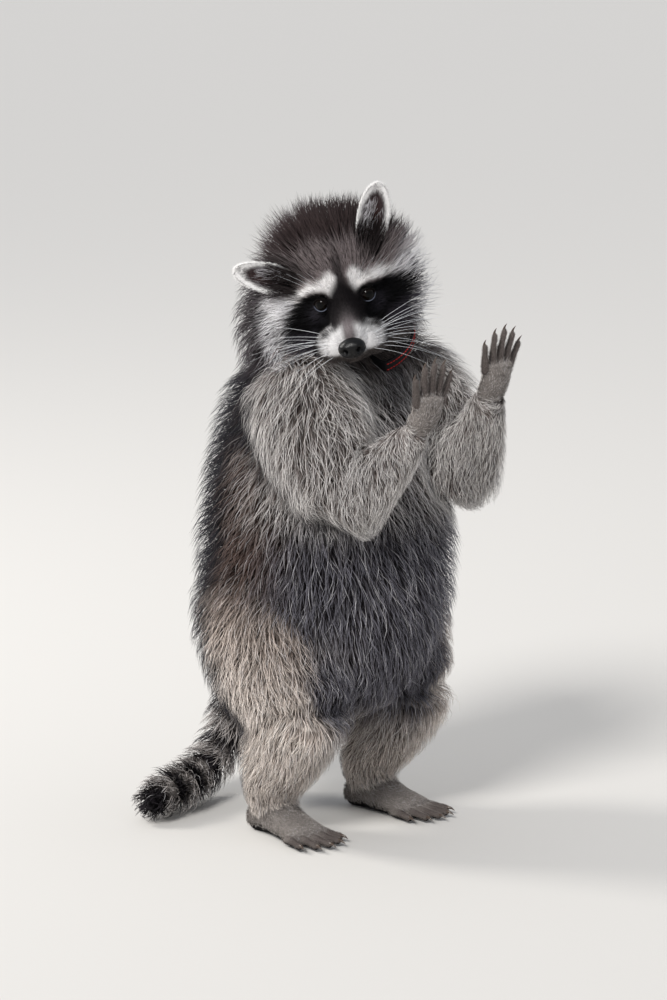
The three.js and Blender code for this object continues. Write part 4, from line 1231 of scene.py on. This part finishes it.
skinParts = [bodySkin, fineSkin, *lidParts, *earParts]
skinObject = makeMesh("skin", skinParts, shortFurSkin)
skinPoints = np.vstack([part[0] for part in skinParts])
normals = np.empty(len(skinPoints) * 3, np.float32)
skinObject.data.vertices.foreach_get("normal", normals)
skinUnder, skinTips, skinAlong = skinColours(skinPoints, normals.reshape(-1, 3))
print("skin faces:", len(skinObject.data.polygons))


# ears: tones on their sheets and their own short tufts

earTones = {
    "rim": (tone(214, 212, 212), tone(250, 249, 248)),
    "inner": (tone(30, 25, 26), tone(80, 72, 74)),
    "deep": (tone(38, 22, 20), tone(66, 45, 42)),
    "behind": (tone(64, 60, 63), tone(118, 115, 118)),
    "hairs": (tone(120, 116, 118), tone(214, 212, 216)),
}


def earEdge(t, s):
    # 0 along the middle of the ear, 1 on its rim: round past the widest place
    beyond = np.clip((t - ear["widest"]) / 0.56, 0, 1)
    return np.where(t < ear["widest"], np.abs(s), np.sqrt(beyond**2 + s**2 * (1 - beyond**2)))


def earColours(t, s, layer):
    # pale rim, dark inside with a warm hollow, grey behind
    edge = earEdge(t, s)
    under, tips = earTones["behind"] if layer == 0 else earTones["inner"]
    under, tips = np.tile(under, (len(t), 1)), np.tile(tips, (len(t), 1))
    if layer:
        deep = np.exp(-((t - 0.46) / 0.3) ** 2 - (s / 0.5) ** 2)
        under, tips = mix(under, earTones["deep"][0], deep), mix(tips, earTones["deep"][1], deep)
    rim = smooth(0.64 if layer else 0.6, 0.88, edge) * smooth(0.02, 0.2, t)
    return mix(under, earTones["rim"][0], rim), mix(tips, earTones["rim"][1], rim)


t, s = (grid.ravel() for grid in earGrid())
start = len(skinPoints) - 4 * len(t)            # the ears' four sheets come last
for layer in (0, 1, 0, 1):
    sheet = slice(start, start + len(t))
    skinUnder[sheet], skinTips[sheet] = earColours(t, s, layer)
    skinAlong[sheet] = 0.6
    start += len(t)
for name, values in (("underTone", skinUnder), ("tipTone", skinTips), ("alongHair", skinAlong),
                     ("hairVary", np.full(len(skinPoints), 0.5))):
    addAttribute(skinObject, name, values)
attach(skinObject, "root")
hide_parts("head", "neck", "torso", "ear_right", "ear_left", "tail_1", "tail_2", "tail_3", "tail_4",
            *[f"{part}_{side}" for part in ("upper_arm", "forearm", "hand", "thigh", "shank", "foot")
              for side in ("right", "left")])


def earTufts(sign, rng, count=3000):
    # straight hairs from points t, s of both sheets: short, dense on the rim, and longer and
    # paler from the base and the inner edge
    layer = (rng.random(count) < 0.55).astype(float)
    t = rng.random(count) ** 0.85 * 0.97
    s = rng.uniform(-1, 1, count)
    onRim = rng.random(count) < 0.45
    s = np.where(onRim & (rng.random(count) < 0.72), np.sign(s) * (1 - 0.1 * rng.random(count)), s)
    t = np.where(onRim & (np.abs(s) < 0.88), 1 - 0.07 * rng.random(count), t)
    root, facing, rise, across = earPoint(sign, t, s, layer)
    edge = earEdge(t, s)
    outward = facing * (2 * layer - 1)[:, None]
    rim = smooth(0.7, 0.95, edge)
    lie = unit(rise + across * (s * 0.45 * rim)[:, None] + outward * 0.08)
    inwards = smooth(-0.25, 0.3, -sign * s)
    hairs = (layer == 1) & (t < 0.62) & (edge < 0.85) & (rng.random(count) < 0.08 + 0.8 * inwards)
    lie = np.where(hairs[:, None], unit(rise - across * (s * 0.3)[:, None] + outward * 0.35), lie)
    length = (2.6 + 1.2 * rng.random(count)) * (1 + 0.3 * (1 - rim))
    length = np.where(hairs, 7 + 7 * rng.random(count), length)
    lie = unit(lie + rng.normal(0, 0.16, (count, 3)))
    steps = np.array([0, 0.34, 0.7, 1.0])
    spine = root[:, None] + lie[:, None] * (length[:, None] * steps)[..., None]
    spine = spine + outward[:, None] * (length[:, None] * 0.14 * np.sin(steps * 2.6) - 0.3)[..., None]
    under, tips = np.zeros((count, 3)), np.zeros((count, 3))
    for side in (0, 1):
        low, high = earColours(t, s, side)
        under[layer == side], tips[layer == side] = low[layer == side], high[layer == side]
    under[hairs], tips[hairs] = earTones["hairs"]
    points = fromHead(spine.reshape(-1, 3)).reshape(spine.shape)
    normal = np.repeat((outward @ headAxes.T)[:, None], len(steps), axis=1)
    return dict(spine=points, normals=normal, width=np.where(hairs, 0.00032, 0.00042),
                kind=np.full(count, "ear"), form=np.full(count, len(forms) + (sign > 0)),
                angle=np.pi * (s * 0.5 + layer - 0.5), station=t, outward=normal[:, 0],
                vary=rng.random(count), under=under, tips=tips)


# grow the coat and part it in pieces

rng = np.random.default_rng(5)
roots, facing = spreadRoots(rng)
tufts = growTufts(roots, facing, rng)
low = tufts["spine"][:, 1] * 0.8 + tufts["spine"][:, 2] * 0.2
high = tufts["spine"][:, 2] * 0.6 + tufts["spine"][:, 3] * 0.4
tufts["under"] = coatTones(low, tufts["outward"], tufts["kind"], tufts["station"])[0]
tufts["tips"] = coatTones(high, tufts["outward"], tufts["kind"], tufts["station"])[1]
# here and there a dark tip or a silver one
chance = softNoise(roots, 0.002, 1) * 0.5 + (rng.random(len(roots)) - 0.5)
furry = ~np.isin(tufts["kind"], ("head", "toe", "finger"))
tufts["tips"] = mix(tufts["tips"], tufts["tips"] * 0.4, furry * (chance > 0.25) * 0.8)
silver = furry * (chance < -0.38) * smooth(0.4, -0.1, tufts["outward"][:, 1])
tufts["tips"] = mix(tufts["tips"], tone(214, 212, 214), silver * 0.6)
for sign in (-1, 1):
    more = earTufts(sign, rng)
    tufts = {key: np.concatenate([tufts[key], more[key]]) for key in tufts}
print("tufts grown:", len(tufts["width"]))

groups = {"coatHead": ("head",), "coatEars": ("ear",), "coatNeck": ("neck",), "coatTorso": ("torso",),
          "coatArms": ("upperArm", "forearm"), "coatLegs": ("thigh", "shank"),
          "coatPaws": ("foot", "toe", "hand", "finger"), "coatTail": ("tail",)}
mostFaces = 196000
for name, members in groups.items():
    rings = 2 if members[0] in shortKinds else 3
    chosen = np.nonzero(np.isin(tufts["kind"], members))[0]
    order = tufts["station"][chosen] + 2 * (tufts["form"][chosen] % 2)      # side by side, along each
    chosen = chosen[np.argsort(order, kind="stable")]
    pieces = int(np.ceil(len(chosen) * (6 * rings - 2) / mostFaces))
    for i, block in enumerate(np.array_split(chosen, pieces)):
        label = name if pieces == 1 else f"{name}{i + 1}"
        piece = coatPiece(label, tufts, block, rings, faceHair if rings == 2 else coatHair)
        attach(piece, "root")
        print(label, len(piece.data.polygons), "triangles")


# eyes

eyeLook = {
    "bulge": 0.5, "bulgeWithin": (0.75, 0.35),          # mm; radians from the gaze
    "ring": [(0.0, (0.001, 0.001, 0.001)), (0.33, (0.001, 0.001, 0.001)),      # pupil
             (0.40, (0.003, 0.002, 0.001)), (0.56, (0.005, 0.003, 0.002)),     # iris
             (0.66, (0.002, 0.001, 0.001)), (1.0, (0.003, 0.003, 0.003))],
}


def eyeMaterial():
    # dark brown iris round a black pupil, black beyond; the ring comes from the angle to the gaze
    made, tree, shader = newMaterial("eyeWet", Roughness=0.04, Specular_IOR_Level=0.12)
    ramp = addNode(tree, "ShaderNodeValToRGB")
    stops = ramp.color_ramp.elements
    for stop, (position, colour) in zip(stops, (eyeLook["ring"][0], eyeLook["ring"][-1])):
        stop.position, stop.color = position, (*colour, 1)
    for position, colour in eyeLook["ring"][1:-1]:
        stops.new(position).color = (*colour, 1)
    tree.links.new(readAttribute(tree, "fromGaze").outputs["Fac"], ramp.inputs[0])
    tree.links.new(ramp.outputs[0], shader.inputs["Base Color"])
    return made


eyeWet = eyeMaterial()
for sign, side in ((-1, "right"), (1, "left")):
    centre, gaze, across, up = eyeFrame(sign)
    axes = np.stack([across, -up, gaze], 1)
    points, quads, fans = ballGrid((0, 0, 0), np.full(3, head["eyeRadius"]), axes, 64, 48)
    fromGaze = np.arccos(np.clip(unit(points) @ gaze, -1, 1))
    bulge = eyeLook["bulge"] / head["eyeRadius"] * smooth(*eyeLook["bulgeWithin"], fromGaze)
    points = points * (1 + bulge)[:, None]
    eye = makeMesh(f"eye{side.capitalize()}", [(fromHead(points + centre), quads, fans)], eyeWet)
    addAttribute(eye, "fromGaze", fromGaze)
    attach(eye, "root")
    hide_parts(f"eye_{side}")


# nose pad: a ball with a flat top, a groove down its middle and two comma nostrils

nose = {                                    # mm in the head's frame
    "at": (0, -56, -22), "size": (12, 8.5, 9.5),
    "nostril": (6.4, -62.6, -22.5), "holeDepth": 4.2, "slitDepth": 2.2, "wing": 0.5, "groove": 0.9,
}


def nosePad():
    # an ellipsoid narrowed at the top; each dent is depth * e^-(offset / size)^2 along its normal
    points, quads, fans = ballGrid((0, 0, 0), np.array(nose["size"]), np.eye(3), 110, 80)
    x, y, z = points.T
    narrow = (1 - 0.10 * smooth(2, 9, z)) * (1 + 0.05 * smooth(-2, -8, y))
    points = points * np.stack([narrow, np.ones(len(x)), 1 - 0.08 * smooth(4, 9, z)], -1)
    outward = unit(points / np.square(nose["size"]))
    at = points + nose["at"]
    for sign in (-1, 1):
        across, _, up = (at - np.array(nose["nostril"]) * [sign, 1, 1]).T
        hole = (across / 2.5) ** 2 + (up / 2.9) ** 2
        slit = ((across - sign * 3.4) / 3.0) ** 2 + ((up + 1.6) / 1.3) ** 2
        dent = nose["holeDepth"] * np.exp(-hole**1.5) + nose["slitDepth"] * np.exp(-slit**1.4)
        points = points - outward * (dent * (at[:, 1] < -56))[:, None]
        wing = np.exp(-((across - sign * 0.4) / 4.5) ** 2 - ((up - 4.2) / 1.8) ** 2)
        points = points + outward * (nose["wing"] * wing * (at[:, 1] < -57))[:, None]
    middle = np.exp(-(x / 0.7) ** 2) * smooth(-56.5, -60, at[:, 1]) * smooth(2, -3, z)
    points = points - outward * (nose["groove"] * middle)[:, None]
    return fromHead(points + nose["at"]), quads, fans


noseLeather, tree, shader = newMaterial("noseLeather", Base_Color=(*tone(12, 11, 13), 1), Roughness=0.34,
                                        Specular_IOR_Level=0.28)
cells = patternNode(tree, "ShaderNodeTexVoronoi", Scale=1300.0)
bumpNode(tree, shader, cells.outputs["Distance"], 0.35, 0.0003)
mottle = patternNode(tree, "ShaderNodeTexNoise", Scale=260.0)
dark = blendColour(tree, mottle.outputs[0], (*tone(4, 4, 6), 1), (*tone(15, 14, 17), 1))
tree.links.new(dark, shader.inputs["Base Color"])
nosePiece = makeMesh("nosePad", [nosePad()], noseLeather)
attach(nosePiece, "root")
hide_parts("nose")


# whiskers: thin tapered tubes that bend out, back and down

def taperedTubes(spines, radii, around=5):
    # spines: tubes x stations x 3; radius at each station; the last station closes to a point
    along = unit(np.gradient(spines, axis=1))
    side = unit(np.cross(along, np.array([0.13, 0.31, 0.94])))
    up = np.cross(side, along)
    turn = np.linspace(0, 2 * np.pi, around, endpoint=False)
    c, d = np.cos(turn)[None, None, :, None], np.sin(turn)[None, None, :, None]
    ring = side[:, :, None] * c - up[:, :, None] * d
    points = spines[:, :, None] + ring * radii[:, :, None, None]
    ends = spines[:, -1] + along[:, -1] * 1e-4
    parts = [closedTube(tube, tube[0].mean(0), end) for tube, end in zip(points, ends)]
    for part in parts:
        part[0][:, 2] = np.maximum(part[0][:, 2], 0.0002)       # none under the floor
    return parts


# mm in the head's frame; length: the first one's, more per place back, more per row down
whisker = {
    "rows": (-19, -23, -27.5, -32), "inRow": 4, "length": (44, 9, 5), "radius": 0.15,
    "browCount": 4, "browLength": (26, 4), "browRadius": 0.12, "taper": 0.75, "stations": 12,
}


def whiskerSpines(rng):
    # root + heading * length * s + bend * length * s^2: rows on each cheek, a few over each eye
    spines, radii = [], []
    s = np.linspace(0, 1, whisker["stations"])[:, None]
    taper = 1 - whisker["taper"] * s[:, 0]
    for sign in (-1, 1):
        for row, height in enumerate(whisker["rows"]):
            for i in range(whisker["inRow"]):
                _, jitter = rng.normal(0, (0.5, 0.6))
                y = -42 + 7.5 * i - 1.5 * row
                x = 17.5 + 9.5 * np.sin(np.clip((y + 52) / 34, 0, 1) * np.pi / 2)
                root = np.array([sign * x, y, height + jitter])
                first, perPlace, perRow = whisker["length"]
                length = (first + perPlace * i + perRow * row) * (0.85 + 0.3 * rng.random())
                up = 0.28 - 0.22 * row + rng.normal(0, 0.07)
                heading = unit(np.array([sign * 1.0, 0.12 + 0.08 * i + rng.normal(0, 0.06), up]))
                bend = np.array([-sign * 0.1, 0.30, -0.42 - 0.08 * row])
                spines.append(root - heading * 2 + heading * length * s + bend * length * 0.5 * s**2)
                radii.append(whisker["radius"] * taper)
    for sign in (-1, 1):
        for i in range(whisker["browCount"]):
            root = np.array([sign * (15 + 4 * i), 2 + 3.0 * i, 12.5 - i])
            heading = unit(np.array([sign * (0.25 + 0.12 * i), -0.45, 0.8]))
            bend = np.array([sign * 0.2, 0.25, -0.1])
            length = whisker["browLength"][0] + whisker["browLength"][1] * i
            spines.append(root + heading * length * s + bend * length * 0.6 * s**2)
            radii.append(whisker["browRadius"] * taper)
    return np.array(spines), np.array(radii)


spines, radii = whiskerSpines(np.random.default_rng(3))
shape = spines.shape
spines = fromHead(spines.reshape(-1, 3)).reshape(shape)
whiskerWhite, _, _ = newMaterial("whiskerWhite", Base_Color=(*tone(235, 238, 242), 1), Roughness=0.35,
                                 Specular_IOR_Level=0.6)
whiskers = makeMesh("whiskers", taperedTubes(spines, radii / 1000), whiskerWhite)
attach(whiskers, "root")


# claws: curved cones from each digit's tip

claw = {"toe": 9, "finger": 8, "arch": 0.9, "hook": 1.6, "thick": 0.5, "stations": 12}      # mm


def clawSpines():
    spines, radii = [], []
    s = np.linspace(-0.28, 1, claw["stations"])[:, None]
    free = np.clip(s, 0, 1)
    for kind, tip, heading, radius in clawStations:
        down = np.array([0, 0, -1.0]) if kind == "toe" else unit(np.array([0, -1.0, 0.1]))
        start = tip - down * radius * 0.15
        arch = down * claw["arch"] * np.sin(np.pi * free)
        spines.append(start + heading * claw[kind] * s - arch + down * claw["hook"] * s**2)
        radii.append(radius * claw["thick"] * (1 - free[:, 0] ** 1.4 * 0.93))
    shape = (len(spines), claw["stations"], 3)
    return placed(np.array(spines).reshape(-1, 3)).reshape(shape), np.array(radii) / 1000


clawHorn, tree, shader = newMaterial("clawHorn", Roughness=0.32, Coat_Weight=0.25)
streak = patternNode(tree, "ShaderNodeTexNoise", Scale=420.0, Detail=3.0)
horn = blendColour(tree, streak.outputs[0], (*tone(38, 30, 27), 1), (*tone(96, 82, 72), 1))
tree.links.new(horn, shader.inputs["Base Color"])
clawPiece = makeMesh("claws", taperedTubes(*clawSpines(), around=10), clawHorn)
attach(clawPiece, "root")


# collar: a strap square to the neck, with two rows of stitches

def strapPart(around=220, corners=20):
    # a box with rounded corners, swept round the neck
    half, thick = collar["width"] / 2, collar["thickness"]
    f = np.linspace(0, 2 * np.pi, corners, endpoint=False)
    out = thick / 2 + thick / 2 * np.sign(np.cos(f)) * np.abs(np.cos(f)) ** 0.35
    up = half * np.sign(np.sin(f)) * np.abs(np.sin(f)) ** 0.35
    turn = np.linspace(0, 2 * np.pi, around, endpoint=False)[:, None]
    points = collarPath(turn + 0 * f, out + 0 * turn, up + 0 * turn)
    here = np.arange(around)[:, None] * corners
    after = np.roll(here, -1, axis=0)
    i, j = np.arange(corners), np.roll(np.arange(corners), -1)
    quads = np.stack([here + i, here + j, after + j, after + i], -1)
    return points.reshape(-1, 3), quads.reshape(-1, 4)[:, ::-1]


stitch = {"count": 118, "share": 0.72, "lift": 2.45, "rise": 0.5, "radius": 0.42}     # per turn; mm


def stitchParts():
    # two rows, along the part of the strap that shows
    spines, radii = [], []
    first, last = np.radians(collar["shown"])
    step = 2 * np.pi / stitch["count"]
    s = np.linspace(0, 1, 6)
    radius = stitch["radius"] * np.sqrt(np.clip(np.sin(np.pi * (0.12 + 0.76 * s)), 0, 1))
    for row in collar["rows"]:
        start = np.linspace(0, 2 * np.pi, stitch["count"], endpoint=False)
        start = start[(start > first) & (start < last + 0.3)]
        turn = start[:, None] + s * stitch["share"] * step
        lift = stitch["lift"] + stitch["rise"] * np.sin(np.pi * s) + 0 * turn
        spines.append(collarPath(turn, lift, np.full_like(turn, row)))
        radii.append(np.tile(radius, (len(start), 1)))
    return taperedTubes(np.concatenate(spines), np.concatenate(radii) / 1000, around=6)


strapBlack, tree, shader = newMaterial("strapWeave", Roughness=0.7, Specular_IOR_Level=0.2)
weave = patternNode(tree, "ShaderNodeTexNoise", Scale=1500.0, Detail=2.0)
black = blendColour(tree, weave.outputs[0], (*tone(5, 6, 8), 1), (*tone(20, 21, 26), 1))
tree.links.new(black, shader.inputs["Base Color"])
bumpNode(tree, shader, weave.outputs[0], 0.5, 0.0003)
strap = makeMesh("collarStrap", [strapPart()], strapBlack)
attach(strap, "root")
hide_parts("collar")
threadRed, _, _ = newMaterial("threadRed", Base_Color=(*tone(196, 28, 24), 1), Roughness=0.7)
stitches = makeMesh("collarStitches", stitchParts(), threadRed)
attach(stitches, "root")
print("head pieces and collar made")


# floor, lights, camera

def floorSheet(size=40.0, count=60):
    # a level sheet
    x = np.linspace(-size, size, count)
    a, b = np.meshgrid(x, x, indexing="ij")
    points = np.stack([a, b, np.zeros_like(a)], -1).reshape(-1, 3)
    i = (np.arange(count - 1)[:, None] * count + np.arange(count - 1)).ravel()
    return points, np.stack([i, i + count, i + count + 1, i + 1], -1)


floorPale, _, _ = newMaterial("floorPale", Roughness=0.85, Base_Color=(0.66, 0.645, 0.62, 1))
floor = makeMesh("floor", [floorSheet()], floorPale)

# a pale sky, a wide soft sun from the upper left, a lamp behind for the bright edge of the coat
studio = {
    "world": (0.86, 0.89, 0.95), "worldPower": 0.55,
    "sunFrom": (-3.0, -1.0, 2.9), "sunAt": (0, 0, 0.35), "sunPower": 2.7, "sunSpread": 0.3,
    "sunTone": (1.0, 0.98, 0.95), "lampFrom": (-1.3, 2.4, 2.2), "lampAt": (0, 0, 0.4), "lampPower": 60,
    "lampSize": 1.0, "lampTone": (1.0, 0.97, 0.92),
}
bpy.context.scene.view_settings.view_transform = "Standard"
world = bpy.data.worlds.new("studio")
bpy.context.scene.world = world
world.use_nodes = True
world.node_tree.nodes["Background"].inputs[0].default_value = (*studio["world"], 1)
world.node_tree.nodes["Background"].inputs[1].default_value = studio["worldPower"]


def aim(thing, place, target):
    # the thing's -Z axis points from its place to the target, its Y axis up
    place, target = np.array(place, float), np.array(target, float)
    back = unit(place - target)
    right = unit(np.cross([0, 0, 1.0], back))
    axes = np.stack([right, np.cross(back, right), back], 1)
    thing.rotation_euler = Matrix(axes.tolist()).to_euler()
    thing.location = place


def addLight(name, kind, place, target, **settings):
    data = bpy.data.lights.new(name, kind)
    for key, value in settings.items():
        setattr(data, key, value)
    light = bpy.data.objects.new(name, data)
    bpy.context.scene.collection.objects.link(light)
    aim(light, place, target)


addLight("key", "SUN", studio["sunFrom"], studio["sunAt"], energy=studio["sunPower"],
         angle=studio["sunSpread"], color=studio["sunTone"])
addLight("rim", "AREA", studio["lampFrom"], studio["lampAt"], shape="DISK", size=studio["lampSize"],
         energy=studio["lampPower"], color=studio["lampTone"])

# degrees, metres and mm of lens; right and up: where it looks, across and up its picture
view = {
    "azimuth": -45.0, "elevation": 10.0, "distance": 3.4, "lens": 134.64, "sensor": 36,
    "right": 0.0014, "up": 0.2927,
}
azimuth, elevation = np.radians([view["azimuth"], view["elevation"]])
level = np.cos(elevation)
backward = np.array([np.sin(azimuth) * level, -np.cos(azimuth) * level, np.sin(elevation)])
sideways = np.array([np.cos(azimuth), np.sin(azimuth), 0])
upward = np.cross(backward, sideways)
lookAt = frameShift + sideways * view["right"] + upward * view["up"]
cameraData = bpy.data.cameras.new("camera")
cameraData.lens, cameraData.sensor_width, cameraData.sensor_fit = view["lens"], view["sensor"], "AUTO"
camera = bpy.data.objects.new("camera", cameraData)
bpy.context.scene.collection.objects.link(camera)
aim(camera, lookAt + backward * view["distance"], lookAt)
bpy.context.scene.camera = camera
